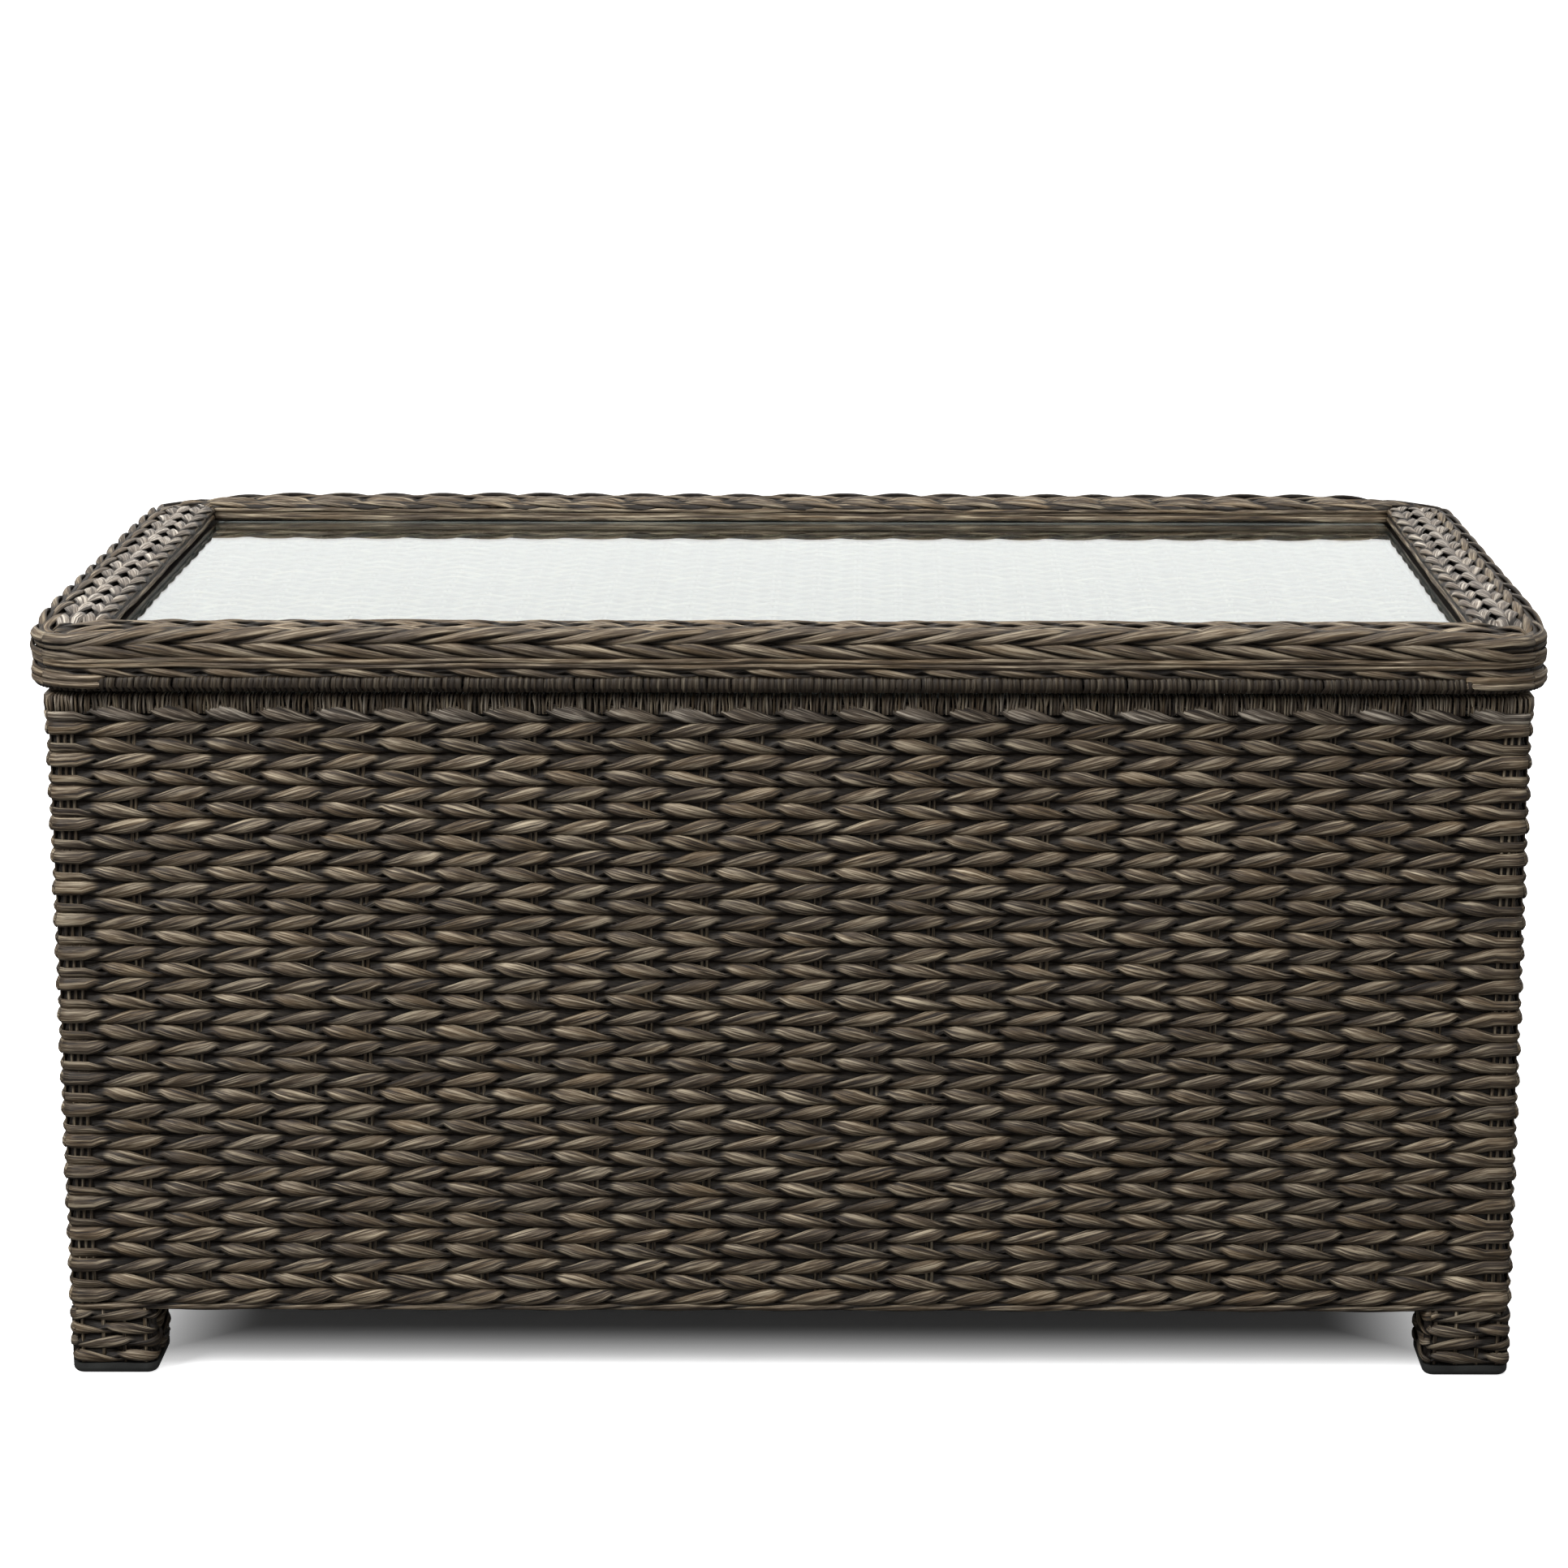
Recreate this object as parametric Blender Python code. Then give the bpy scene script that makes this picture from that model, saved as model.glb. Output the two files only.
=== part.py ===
"""A wicker storage chest used as a coffee table, with a glass-topped lid on hinges and gas struts.

Metres, +Z up. The origin is on the floor under the middle of the lid. +X runs along the long side and
the front faces -Y. The model is at rest with the lid shut.
"""

import math

import bmesh
import bpy
from mathutils import Matrix, Vector

# Overall sizes
LID_WIDTH = 1.080
LID_DEPTH = 0.620
TABLE_HEIGHT = 0.558
LID_THICKNESS = 0.043
LID_OVERHANG = 0.012
LID_CORNER_RADIUS = 0.045
SEAM_GAP = 0.006
SKIRT_HEIGHT = 0.0505

# Gap that touching pieces keep
CLEARANCE = 0.0003

# Wicker
WEAVE_THICKNESS = 0.009
RIM_WRAP_THICKNESS = 0.003
LIP_THICKNESS = 0.0025
CORNER_LAND = 0.0005
BORDER_WIDTH = 0.0515
BORDER_OUTER_ROUND = 0.010
BORDER_INNER_ROUND = 0.005
PANEL_THICKNESS = 0.007

# Rows of the walls' weave. Each row is a rib with a flat crest, and a groove lies between two rows
ROW_PITCH = 0.01178
ROW_CREST = 0.0048
ROW_RELIEF = 0.004
FIRST_ROW_DROP = 0.0107

# Steel frame of the chest
TUBE_SIDE = 0.025
TUBE_WALL = 0.0015

# Lid rails
RAIL_WIDTH = 0.025
RAIL_WALL = 0.0015
FLANGE_THICKNESS = 0.003
FLANGE_REACH = 0.0105

# Legs and feet
LEG_SIDE = 0.065
FOOT_HEIGHT = 0.008
FOOT_INSET = 0.001
FOOT_EDGE_ROUND = 0.005
FOOT_PLUG_HEIGHT = 0.015

# Base of the storage space
BOARD_THICKNESS = 0.006
BASE_BAR_SIDE = 0.020

# Glass
GLASS_RECESS = 0.0155
GLASS_THICKNESS = 0.005
GLASS_EDGE_GAP = 0.0015
GLASS_CORNER_RADIUS = 0.006
GLASS_EDGE_CHAMFER = 0.0008
GASKET_THICKNESS = 0.0015
GASKET_WIDTH = 0.006
GASKET_INSET = 0.002

# Hinges
HINGE_INSET = 0.200
HINGE_LENGTH = 0.060
HINGE_LEAF_REACH = 0.026
HINGE_LEAF_THICKNESS = 0.0018
HINGE_STANDOFF = 0.0008
HINGE_PIN_RADIUS = 0.0013
HINGE_SLIT_ANGLE = math.radians(50.0)

# Gas struts
STRUT_ARM = 0.175
STRUT_SHUT_ANGLE = math.radians(70.0)
STUD_DROP = 0.016
EAR_GAP = 0.0043
STUD_NECK_LENGTH = 0.0075
STUD_NECK_RADIUS = 0.003
BALL_RADIUS = 0.005
PLATE_THICKNESS = 0.0025
PLATE_MARGIN = 0.010
PLATE_HALF_HEIGHT = 0.014
SEAT_THICKNESS = 0.0018
SEAT_OVERLAP = 0.014
SOCKET_LENGTH = 0.014
SOCKET_WALL = 0.0022
SOCKET_FRONT = 0.0045
SOCKET_NECK_RADIUS = 0.0045
CYLINDER_RADIUS = 0.0075
CYLINDER_WALL = 0.0012
CYLINDER_END = 0.003
CYLINDER_MOUTH = 0.008
ROD_RADIUS = 0.003
ROD_SHOWING = 0.0228
PISTON_LENGTH = 0.008
PISTON_END_PLAY = 0.005

# Rubber buffers between the front rim and the lid
BUFFER_RADIUS = 0.007
BUFFER_INSET = 0.090

# Facets of round pieces
ROUND_STEPS = 16
ARC_STEPS = 4

# Chest, derived
BOX_WIDTH = LID_WIDTH - 2 * LID_OVERHANG
BOX_DEPTH = LID_DEPTH - 2 * LID_OVERHANG
LID_BOTTOM = TABLE_HEIGHT - LID_THICKNESS
RIM_TOP = LID_BOTTOM - SEAM_GAP
WALL_TOP = RIM_TOP - RIM_WRAP_THICKNESS - CLEARANCE
FIRST_ROW = WALL_TOP - FIRST_ROW_DROP
ROW_COUNT = int((FIRST_ROW - ROW_CREST / 2 - SKIRT_HEIGHT) / ROW_PITCH) + 1
CORNER_RADIUS = WEAVE_THICKNESS - CORNER_LAND
FRAME_X = BOX_WIDTH / 2 - WEAVE_THICKNESS - CLEARANCE
FRAME_Y = BOX_DEPTH / 2 - WEAVE_THICKNESS - CLEARANCE
POST_INNER_X = FRAME_X - TUBE_SIDE
POST_INNER_Y = FRAME_Y - TUBE_SIDE
BOARD_BOTTOM = SKIRT_HEIGHT + TUBE_SIDE + CLEARANCE

# Lid, derived. E values are measured inward from the lid's outer edge
RAIL_E0 = WEAVE_THICKNESS + CLEARANCE
RAIL_E1 = RAIL_E0 + RAIL_WIDTH
RAIL_BOTTOM = LID_BOTTOM + LIP_THICKNESS + CLEARANCE
RAIL_TOP = TABLE_HEIGHT - WEAVE_THICKNESS - CLEARANCE
GLASS_TOP = TABLE_HEIGHT - GLASS_RECESS
GLASS_BOTTOM = GLASS_TOP - GLASS_THICKNESS
FLANGE_TOP = GLASS_BOTTOM - GASKET_THICKNESS - 2 * CLEARANCE
FLANGE_BOTTOM = FLANGE_TOP - FLANGE_THICKNESS
FLANGE_E = BORDER_WIDTH + FLANGE_REACH
PANEL_E = RAIL_E1 + CLEARANCE
PANEL_TOP = FLANGE_BOTTOM - CLEARANCE
GLASS_E = BORDER_WIDTH + GLASS_EDGE_GAP
GASKET_E = GLASS_E + GASKET_INSET

# Hinge axis, derived
KNUCKLE_RADIUS = SEAM_GAP / 2 - CLEARANCE
HINGE_Y = BOX_DEPTH / 2 + KNUCKLE_RADIUS + HINGE_STANDOFF
HINGE_Z = RIM_TOP + SEAM_GAP / 2

# Strut places, derived. Both studs are one arm from the hinge axis, so the strut turns half the lid's angle
LID_STUD_Z = LID_BOTTOM - STUD_DROP
STUD_DIP = math.asin((HINGE_Z - LID_STUD_Z) / STRUT_ARM)
LID_STUD_Y = HINGE_Y - STRUT_ARM * math.cos(STUD_DIP)
CHEST_STUD_Y = HINGE_Y - STRUT_ARM * math.cos(STUD_DIP + STRUT_SHUT_ANGLE)
CHEST_STUD_Z = HINGE_Z - STRUT_ARM * math.sin(STUD_DIP + STRUT_SHUT_ANGLE)
STRUT_X = POST_INNER_X - EAR_GAP - PLATE_THICKNESS - STUD_NECK_LENGTH
STRUT_SHUT_LENGTH = 2 * STRUT_ARM * math.sin(STRUT_SHUT_ANGLE / 2)
STRUT_TILT = math.atan2(CHEST_STUD_Y - LID_STUD_Y, LID_STUD_Z - CHEST_STUD_Z)
STRUT_SEAT = SOCKET_LENGTH + CLEARANCE
CYLINDER_LENGTH = STRUT_SHUT_LENGTH - 2 * STRUT_SEAT - ROD_SHOWING
CYLINDER_BORE = CYLINDER_RADIUS - CYLINDER_WALL
ROD_END = STRUT_SHUT_LENGTH - STRUT_SEAT - CYLINDER_END - PISTON_END_PLAY

SIDES = (("left", -1), ("right", 1))
DEPTHS = (("front", -1), ("back", 1))


def clear_scene():
    """Remove every object that the new scene came with."""
    for obj in list(bpy.data.objects):
        bpy.data.objects.remove(obj)


def make_material(name, colour, roughness, metallic=0.0):
    """A Principled material with one colour."""
    material = bpy.data.materials.new(name)
    material.use_nodes = True
    shader = material.node_tree.nodes["Principled BSDF"]
    shader.inputs["Base Color"].default_value = (*colour, 1.0)
    shader.inputs["Roughness"].default_value = roughness
    shader.inputs["Metallic"].default_value = metallic
    return material


def make_materials():
    """The materials by name."""
    return {
        "wicker": make_material("resin_wicker", (0.135, 0.110, 0.088), 0.55),
        "frame": make_material("coated_steel", (0.030, 0.025, 0.021), 0.45),
        "foot": make_material("black_plastic", (0.012, 0.012, 0.012), 0.50),
        "board": make_material("grey_board", (0.060, 0.055, 0.050), 0.70),
        "glass": make_material("tempered_glass", (0.780, 0.860, 0.840), 0.05),
        "gasket": make_material("rubber", (0.020, 0.020, 0.020), 0.80),
        "hinge": make_material("zinc_plated_steel", (0.450, 0.450, 0.440), 0.35, 1.0),
        "tube": make_material("grey_painted_steel", (0.400, 0.400, 0.400), 0.35, 0.6),
        "rod": make_material("chromed_steel", (0.700, 0.700, 0.700), 0.12, 1.0),
    }


def add_empty(name, location, tilt=0.0, parent=None):
    """An axis marker. It keeps its place in the world under its parent."""
    empty = bpy.data.objects.new(name, None)
    bpy.context.scene.collection.objects.link(empty)
    empty.location = location
    empty.rotation_euler = (tilt, 0.0, 0.0)
    if parent:
        empty.parent = parent
        empty.matrix_parent_inverse = Matrix.Translation(parent.location).inverted()
    return empty


def add_object(name, bm, material=None, pivot=None):
    """Turn a bmesh that was built in world space into an object, kept in place under its pivot."""
    bmesh.ops.recalc_face_normals(bm, faces=bm.faces)
    mesh = bpy.data.meshes.new(name)
    bm.to_mesh(mesh)
    bm.free()
    if material:
        mesh.materials.append(material)
    obj = bpy.data.objects.new(name, mesh)
    bpy.context.scene.collection.objects.link(obj)
    if pivot:
        obj.parent = pivot
        obj.matrix_parent_inverse = Matrix.Translation(pivot.location).inverted()
    return obj


def add_on_axis(name, bm, material, pivot):
    """Turn a bmesh that was built round its pivot into an object on that pivot."""
    obj = add_object(name, bm, material)
    obj.parent = pivot
    return obj


def combine(target, tool, operation):
    """Join a tool to an object, or cut it out, and remove the tool."""
    modifier = target.modifiers.new("Combine", "BOOLEAN")
    modifier.operation = operation
    modifier.solver = "EXACT"
    modifier.object = tool
    graph = bpy.context.evaluated_depsgraph_get()
    mesh = bpy.data.meshes.new_from_object(target.evaluated_get(graph))
    target.modifiers.clear()
    target.data = mesh
    bpy.data.objects.remove(tool)


def shade_round(obj):
    """Smooth shading on round faces, with the corners kept sharp."""
    obj.data.shade_smooth()
    obj.data.set_sharp_from_angle(angle=math.radians(40.0))


def box_bm(low, high):
    """A box between two corners."""
    bm = bmesh.new()
    bmesh.ops.create_cube(bm, size=1.0)
    size = [b - a for a, b in zip(low, high)]
    centre = [(a + b) / 2 for a, b in zip(low, high)]
    bmesh.ops.scale(bm, vec=size, verts=bm.verts)
    bmesh.ops.translate(bm, vec=centre, verts=bm.verts)
    return bm


def extrude(bm, faces, vector):
    """Extrude faces into a solid."""
    made = bmesh.ops.extrude_face_region(bm, geom=faces)
    verts = [item for item in made["geom"] if isinstance(item, bmesh.types.BMVert)]
    bmesh.ops.translate(bm, vec=vector, verts=verts)


def prism_bm(points, vector):
    """A flat outline extruded along a vector."""
    bm = bmesh.new()
    face = bm.faces.new([bm.verts.new(point) for point in points])
    extrude(bm, [face], vector)
    return bm


def ring_bm(outer, inner, vector):
    """The space between two outlines of as many points each, extruded along a vector."""
    bm = bmesh.new()
    outer_verts = [bm.verts.new(point) for point in outer]
    inner_verts = [bm.verts.new(point) for point in inner]
    faces = []
    for i in range(len(outer)):
        j = (i + 1) % len(outer)
        faces.append(bm.faces.new((outer_verts[i], outer_verts[j], inner_verts[j], inner_verts[i])))
    extrude(bm, faces, vector)
    return bm


def rectangle(axis, place, low, high):
    """The corners of a rectangle square to an axis, from its lower and upper corner."""
    across = [i for i in range(3) if i != axis]
    corners = []
    for first, second in ((0, 0), (1, 0), (1, 1), (0, 1)):
        point = [place, place, place]
        point[across[0]] = (low, high)[first][across[0]]
        point[across[1]] = (low, high)[second][across[1]]
        corners.append(point)
    return corners


def tube_bm(low, high, axis, wall):
    """A square tube along an axis, open at both ends."""
    inner_low = [value + wall for value in low]
    inner_high = [value - wall for value in high]
    outer = rectangle(axis, low[axis], low, high)
    inner = rectangle(axis, low[axis], inner_low, inner_high)
    vector = [0.0, 0.0, 0.0]
    vector[axis] = high[axis] - low[axis]
    return ring_bm(outer, inner, vector)


def round_upright_edges(bm, radius, wanted):
    """Round the upright edges whose place passes a test."""
    edges = []
    for edge in bm.edges:
        first, second = edge.verts
        upright = abs(first.co.x - second.co.x) + abs(first.co.y - second.co.y) < 1e-6
        if upright and wanted(first.co):
            edges.append(edge)
    bmesh.ops.bevel(bm, geom=edges, offset=radius, segments=ARC_STEPS, profile=0.5, affect="EDGES")


def rounded_outline(half_x, half_y, radius, height):
    """A rectangle with round corners, as points at one height."""
    points = []
    corners = ((1, 1, 0.0), (-1, 1, 90.0), (-1, -1, 180.0), (1, -1, 270.0))
    for sign_x, sign_y, start in corners:
        for step in range(ARC_STEPS + 1):
            angle = math.radians(start + 90.0 * step / ARC_STEPS)
            x = sign_x * (half_x - radius) + radius * math.cos(angle)
            y = sign_y * (half_y - radius) + radius * math.sin(angle)
            points.append((x, y, height))
    return points


def turned_bm(profile):
    """A profile of (radius, height) points turned about Z. It starts and ends on the axis."""
    bm = bmesh.new()
    verts = [bm.verts.new((radius, 0.0, height)) for radius, height in profile]
    edges = [bm.edges.new(pair) for pair in zip(verts, verts[1:])]
    bmesh.ops.spin(
        bm,
        geom=verts + edges,
        cent=(0.0, 0.0, 0.0),
        axis=(0.0, 0.0, 1.0),
        dvec=(0.0, 0.0, 0.0),
        angle=2 * math.pi,
        steps=ROUND_STEPS,
        use_merge=True,
    )
    bmesh.ops.remove_doubles(bm, verts=bm.verts, dist=1e-6)
    return bm


def cylinder_bm(radius, start, end, axis="Z"):
    """A round bar along X or Z, between two places on its axis."""
    bm = bmesh.new()
    bmesh.ops.create_cone(
        bm,
        cap_ends=True,
        segments=ROUND_STEPS,
        radius1=radius,
        radius2=radius,
        depth=abs(end - start),
    )
    bmesh.ops.translate(bm, vec=(0.0, 0.0, (start + end) / 2), verts=bm.verts)
    if axis == "X":
        bmesh.ops.rotate(bm, matrix=Matrix.Rotation(math.radians(90.0), 3, "Y"), verts=bm.verts)
    return bm


def swept_side_bm(profile, along, inward):
    """A lid border profile swept along one side, from the middle of one round corner to the next.

    The profile holds (distance inward from the lid's edge, height) points. Past the corner radius the
    inner outline turns a sharp corner.
    """
    half_along = LID_WIDTH / 2 if abs(along.x) > 0.5 else LID_DEPTH / 2
    half_across = LID_DEPTH / 2 if abs(along.x) > 0.5 else LID_WIDTH / 2
    radius = LID_CORNER_RADIUS
    angles = [math.radians(45.0 * (1 - step / ARC_STEPS)) for step in range(ARC_STEPS + 1)]
    stations = [(-1, angle) for angle in angles] + [(1, angle) for angle in reversed(angles)]
    bm = bmesh.new()
    rings = []
    for end, angle in stations:
        mitre = (-end * along - inward) * (CLEARANCE / 2 / math.sqrt(2))
        ring = []
        for e, height in profile:
            if e < radius:
                centre = end * (half_along - radius) * along - (half_across - radius) * inward
                outward = end * math.sin(angle) * along - math.cos(angle) * inward
                place = centre + (radius - e) * outward
                if abs(angle - angles[0]) < 1e-9:
                    place += mitre
            else:
                place = end * (half_along - e) * along - (half_across - e) * inward + mitre
            ring.append(bm.verts.new((place.x, place.y, height)))
        rings.append(ring)
    count = len(profile)
    for first, second in zip(rings, rings[1:]):
        for i in range(count):
            j = (i + 1) % count
            bm.faces.new((first[i], first[j], second[j], second[i]))
    bm.faces.new(rings[0])
    bm.faces.new(rings[-1])
    bmesh.ops.remove_doubles(bm, verts=bm.verts, dist=1e-6)
    return bm


def arc_points(centre, radius, start, end, steps):
    """Points on an arc, as (first, second) pairs. Angles are in radians."""
    points = []
    for step in range(steps + 1):
        angle = start + (end - start) * step / steps
        points.append((centre[0] + radius * math.cos(angle), centre[1] + radius * math.sin(angle)))
    return points


def build_chest_frame(materials):
    """Posts, rails, base bar and base board."""
    post_bottom = FOOT_HEIGHT + CLEARANCE
    for depth_name, depth in DEPTHS:
        for side_name, side in SIDES:
            xs = sorted((side * FRAME_X, side * POST_INNER_X))
            ys = sorted((depth * FRAME_Y, depth * POST_INNER_Y))
            bm = tube_bm((xs[0], ys[0], post_bottom), (xs[1], ys[1], WALL_TOP), 2, TUBE_WALL)
            add_object(f"post_{depth_name}_{side_name}", bm, materials["frame"])

    reach_x = POST_INNER_X - CLEARANCE
    reach_y = POST_INNER_Y - CLEARANCE
    levels = (("top", WALL_TOP - TUBE_SIDE), ("bottom", SKIRT_HEIGHT))
    for level_name, bottom in levels:
        top = bottom + TUBE_SIDE
        for depth_name, depth in DEPTHS:
            ys = sorted((depth * FRAME_Y, depth * POST_INNER_Y))
            bm = tube_bm((-reach_x, ys[0], bottom), (reach_x, ys[1], top), 0, TUBE_WALL)
            add_object(f"{level_name}_rail_{depth_name}", bm, materials["frame"])
        for side_name, side in SIDES:
            xs = sorted((side * FRAME_X, side * POST_INNER_X))
            bm = tube_bm((xs[0], -reach_y, bottom), (xs[1], reach_y, top), 1, TUBE_WALL)
            add_object(f"{level_name}_rail_{side_name}", bm, materials["frame"])

    bar_top = SKIRT_HEIGHT + TUBE_SIDE
    half_bar = BASE_BAR_SIDE / 2
    low = (-half_bar, -reach_y, bar_top - BASE_BAR_SIDE)
    high = (half_bar, reach_y, bar_top)
    add_object("base_bar", tube_bm(low, high, 1, TUBE_WALL), materials["frame"])

    outline = []
    notch_x = POST_INNER_X - CLEARANCE
    notch_y = POST_INNER_Y - CLEARANCE
    for sign_x, sign_y in ((1, 1), (-1, 1), (-1, -1), (1, -1)):
        corner = [(FRAME_X, notch_y), (notch_x, notch_y), (notch_x, FRAME_Y)]
        if sign_x * sign_y < 0:
            corner.reverse()
        outline += [(sign_x * x, sign_y * y, BOARD_BOTTOM) for x, y in corner]
    board = prism_bm(outline, (0.0, 0.0, BOARD_THICKNESS))
    add_object("base_board", board, materials["board"])


def row_profile():
    """The outer face of a wall as (depth, height) points from the top down, with a rib for each row."""
    points = [(0.0, WALL_TOP)]
    for row in range(ROW_COUNT - 1):
        middle = FIRST_ROW - row * ROW_PITCH
        points += [
            (0.0, middle - ROW_CREST / 2),
            (ROW_RELIEF, middle - ROW_PITCH / 2),
            (0.0, middle - ROW_PITCH + ROW_CREST / 2),
        ]
    return points + [(0.0, SKIRT_HEIGHT)]


def ribbed_wall_bm(face, back):
    """A woven wall. The face holds (place, outward direction) pairs in plan, which the grooves set back.

    The back holds the plan points behind the face, which no groove reaches.
    """
    bm = bmesh.new()
    rings = []
    for depth, height in row_profile():
        ring = [place - depth * outward for place, outward in face] + back
        rings.append([bm.verts.new((point.x, point.y, height)) for point in ring])
    for upper, lower in zip(rings, rings[1:]):
        for i in range(len(upper)):
            j = (i + 1) % len(upper)
            bm.faces.new((upper[i], upper[j], lower[j], lower[i]))
    bm.faces.new(rings[0])
    bm.faces.new(rings[-1])
    return bm


def build_walls(materials):
    """Woven walls. The front and back walls turn the corners, and the side walls stand between them."""
    half_x = BOX_WIDTH / 2
    half_y = BOX_DEPTH / 2
    inner_x = half_x - WEAVE_THICKNESS
    inner_y = half_y - WEAVE_THICKNESS
    turn = [math.pi / 2 * step / ARC_STEPS for step in range(ARC_STEPS + 1)]
    for depth_name, depth in DEPTHS:
        face = [(Vector((-half_x, depth * inner_y)), Vector((-1, 0)))]
        for end, angles in ((-1, turn), (1, reversed(turn))):
            centre = Vector((end * (half_x - CORNER_RADIUS), depth * (half_y - CORNER_RADIUS)))
            for angle in angles:
                outward = Vector((end * math.cos(angle), depth * math.sin(angle)))
                face.append((centre + CORNER_RADIUS * outward, outward))
        face.append((Vector((half_x, depth * inner_y)), Vector((1, 0))))
        add_object(f"wall_{depth_name}", ribbed_wall_bm(face, []), materials["wicker"])

    reach_y = inner_y - CLEARANCE
    for side_name, side in SIDES:
        face = [(Vector((side * half_x, y)), Vector((side, 0))) for y in (-reach_y, reach_y)]
        back = [Vector((side * inner_x, y)) for y in (reach_y, -reach_y)]
        add_object(f"wall_{side_name}", ribbed_wall_bm(face, back), materials["wicker"])


def build_rim_and_legs(materials):
    """Rim wrap and leg sleeves."""
    half_x = BOX_WIDTH / 2
    half_y = BOX_DEPTH / 2
    low = (-half_x, -half_y, RIM_TOP - RIM_WRAP_THICKNESS)
    high = (half_x, half_y, RIM_TOP)
    bm = tube_bm(low, high, 2, half_x - POST_INNER_X)
    round_upright_edges(bm, CORNER_RADIUS, lambda co: abs(co.x) > half_x - CLEARANCE)
    add_object("rim_wrap", bm, materials["wicker"])

    sleeve_bottom = FOOT_HEIGHT + CLEARANCE
    sleeve_top = SKIRT_HEIGHT - CLEARANCE
    for depth_name, depth in DEPTHS:
        for side_name, side in SIDES:
            xs = sorted((side * half_x, side * (half_x - LEG_SIDE)))
            ys = sorted((depth * half_y, depth * (half_y - LEG_SIDE)))
            bm = tube_bm((xs[0], ys[0], sleeve_bottom), (xs[1], ys[1], sleeve_top), 2, WEAVE_THICKNESS)
            edge_x = (xs[0] + CLEARANCE, xs[1] - CLEARANCE)
            round_upright_edges(bm, CORNER_RADIUS, lambda co, e=edge_x: co.x < e[0] or co.x > e[1])
            add_object(f"leg_sleeve_{depth_name}_{side_name}", bm, materials["wicker"])


def build_feet(materials):
    """Foot caps, each with a plug in the end of its post."""
    half_x = BOX_WIDTH / 2 - FOOT_INSET
    half_y = BOX_DEPTH / 2 - FOOT_INSET
    side_length = LEG_SIDE - 2 * FOOT_INSET
    plug_gap = TUBE_WALL + CLEARANCE
    for depth_name, depth in DEPTHS:
        for side_name, side in SIDES:
            xs = sorted((side * half_x, side * (half_x - side_length)))
            ys = sorted((depth * half_y, depth * (half_y - side_length)))
            bm = box_bm((xs[0], ys[0], 0.0), (xs[1], ys[1], FOOT_HEIGHT))
            round_upright_edges(bm, CORNER_RADIUS, lambda co: True)
            low_edges = [edge for edge in bm.edges if max(v.co.z for v in edge.verts) < CLEARANCE]
            bmesh.ops.bevel(bm, geom=low_edges, offset=FOOT_EDGE_ROUND, segments=3, affect="EDGES")
            foot = add_object(f"foot_{depth_name}_{side_name}", bm, materials["foot"])

            plug_x = sorted((side * (FRAME_X - plug_gap), side * (POST_INNER_X + plug_gap)))
            plug_y = sorted((depth * (FRAME_Y - plug_gap), depth * (POST_INNER_Y + plug_gap)))
            low = (plug_x[0], plug_y[0], FOOT_HEIGHT / 2)
            high = (plug_x[1], plug_y[1], FOOT_HEIGHT + FOOT_PLUG_HEIGHT)
            combine(foot, add_object("plug", box_bm(low, high)), "UNION")


def border_profile():
    """The braided border round a lid rail: over its top, down both sides and under it."""
    outer = arc_points(
        (BORDER_OUTER_ROUND, TABLE_HEIGHT - BORDER_OUTER_ROUND),
        BORDER_OUTER_ROUND,
        math.pi,
        math.pi / 2,
        ARC_STEPS,
    )
    inner = arc_points(
        (BORDER_WIDTH - BORDER_INNER_ROUND, TABLE_HEIGHT - BORDER_INNER_ROUND),
        BORDER_INNER_ROUND,
        math.pi / 2,
        0.0,
        ARC_STEPS,
    )
    seat = FLANGE_TOP + CLEARANCE
    channel_top = RAIL_TOP + CLEARANCE
    channel_in = RAIL_E1 + CLEARANCE
    channel_out = RAIL_E0 - CLEARANCE
    lip_top = LID_BOTTOM + LIP_THICKNESS
    return [
        (0.0, LID_BOTTOM),
        *outer,
        *inner,
        (BORDER_WIDTH, seat),
        (channel_in, seat),
        (channel_in, channel_top),
        (channel_out, channel_top),
        (channel_out, lip_top),
        (channel_in, lip_top),
        (channel_in, LID_BOTTOM),
    ]


def rail_profile():
    """The lid rail: a channel open below, with a flange that carries the glass."""
    return [
        (RAIL_E0, RAIL_BOTTOM),
        (RAIL_E0, RAIL_TOP),
        (RAIL_E1, RAIL_TOP),
        (RAIL_E1, FLANGE_TOP),
        (FLANGE_E, FLANGE_TOP),
        (FLANGE_E, FLANGE_BOTTOM),
        (RAIL_E1, FLANGE_BOTTOM),
        (RAIL_E1, RAIL_BOTTOM),
        (RAIL_E1 - RAIL_WALL, RAIL_BOTTOM),
        (RAIL_E1 - RAIL_WALL, RAIL_TOP - RAIL_WALL),
        (RAIL_E0 + RAIL_WALL, RAIL_TOP - RAIL_WALL),
        (RAIL_E0 + RAIL_WALL, RAIL_BOTTOM),
    ]


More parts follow.
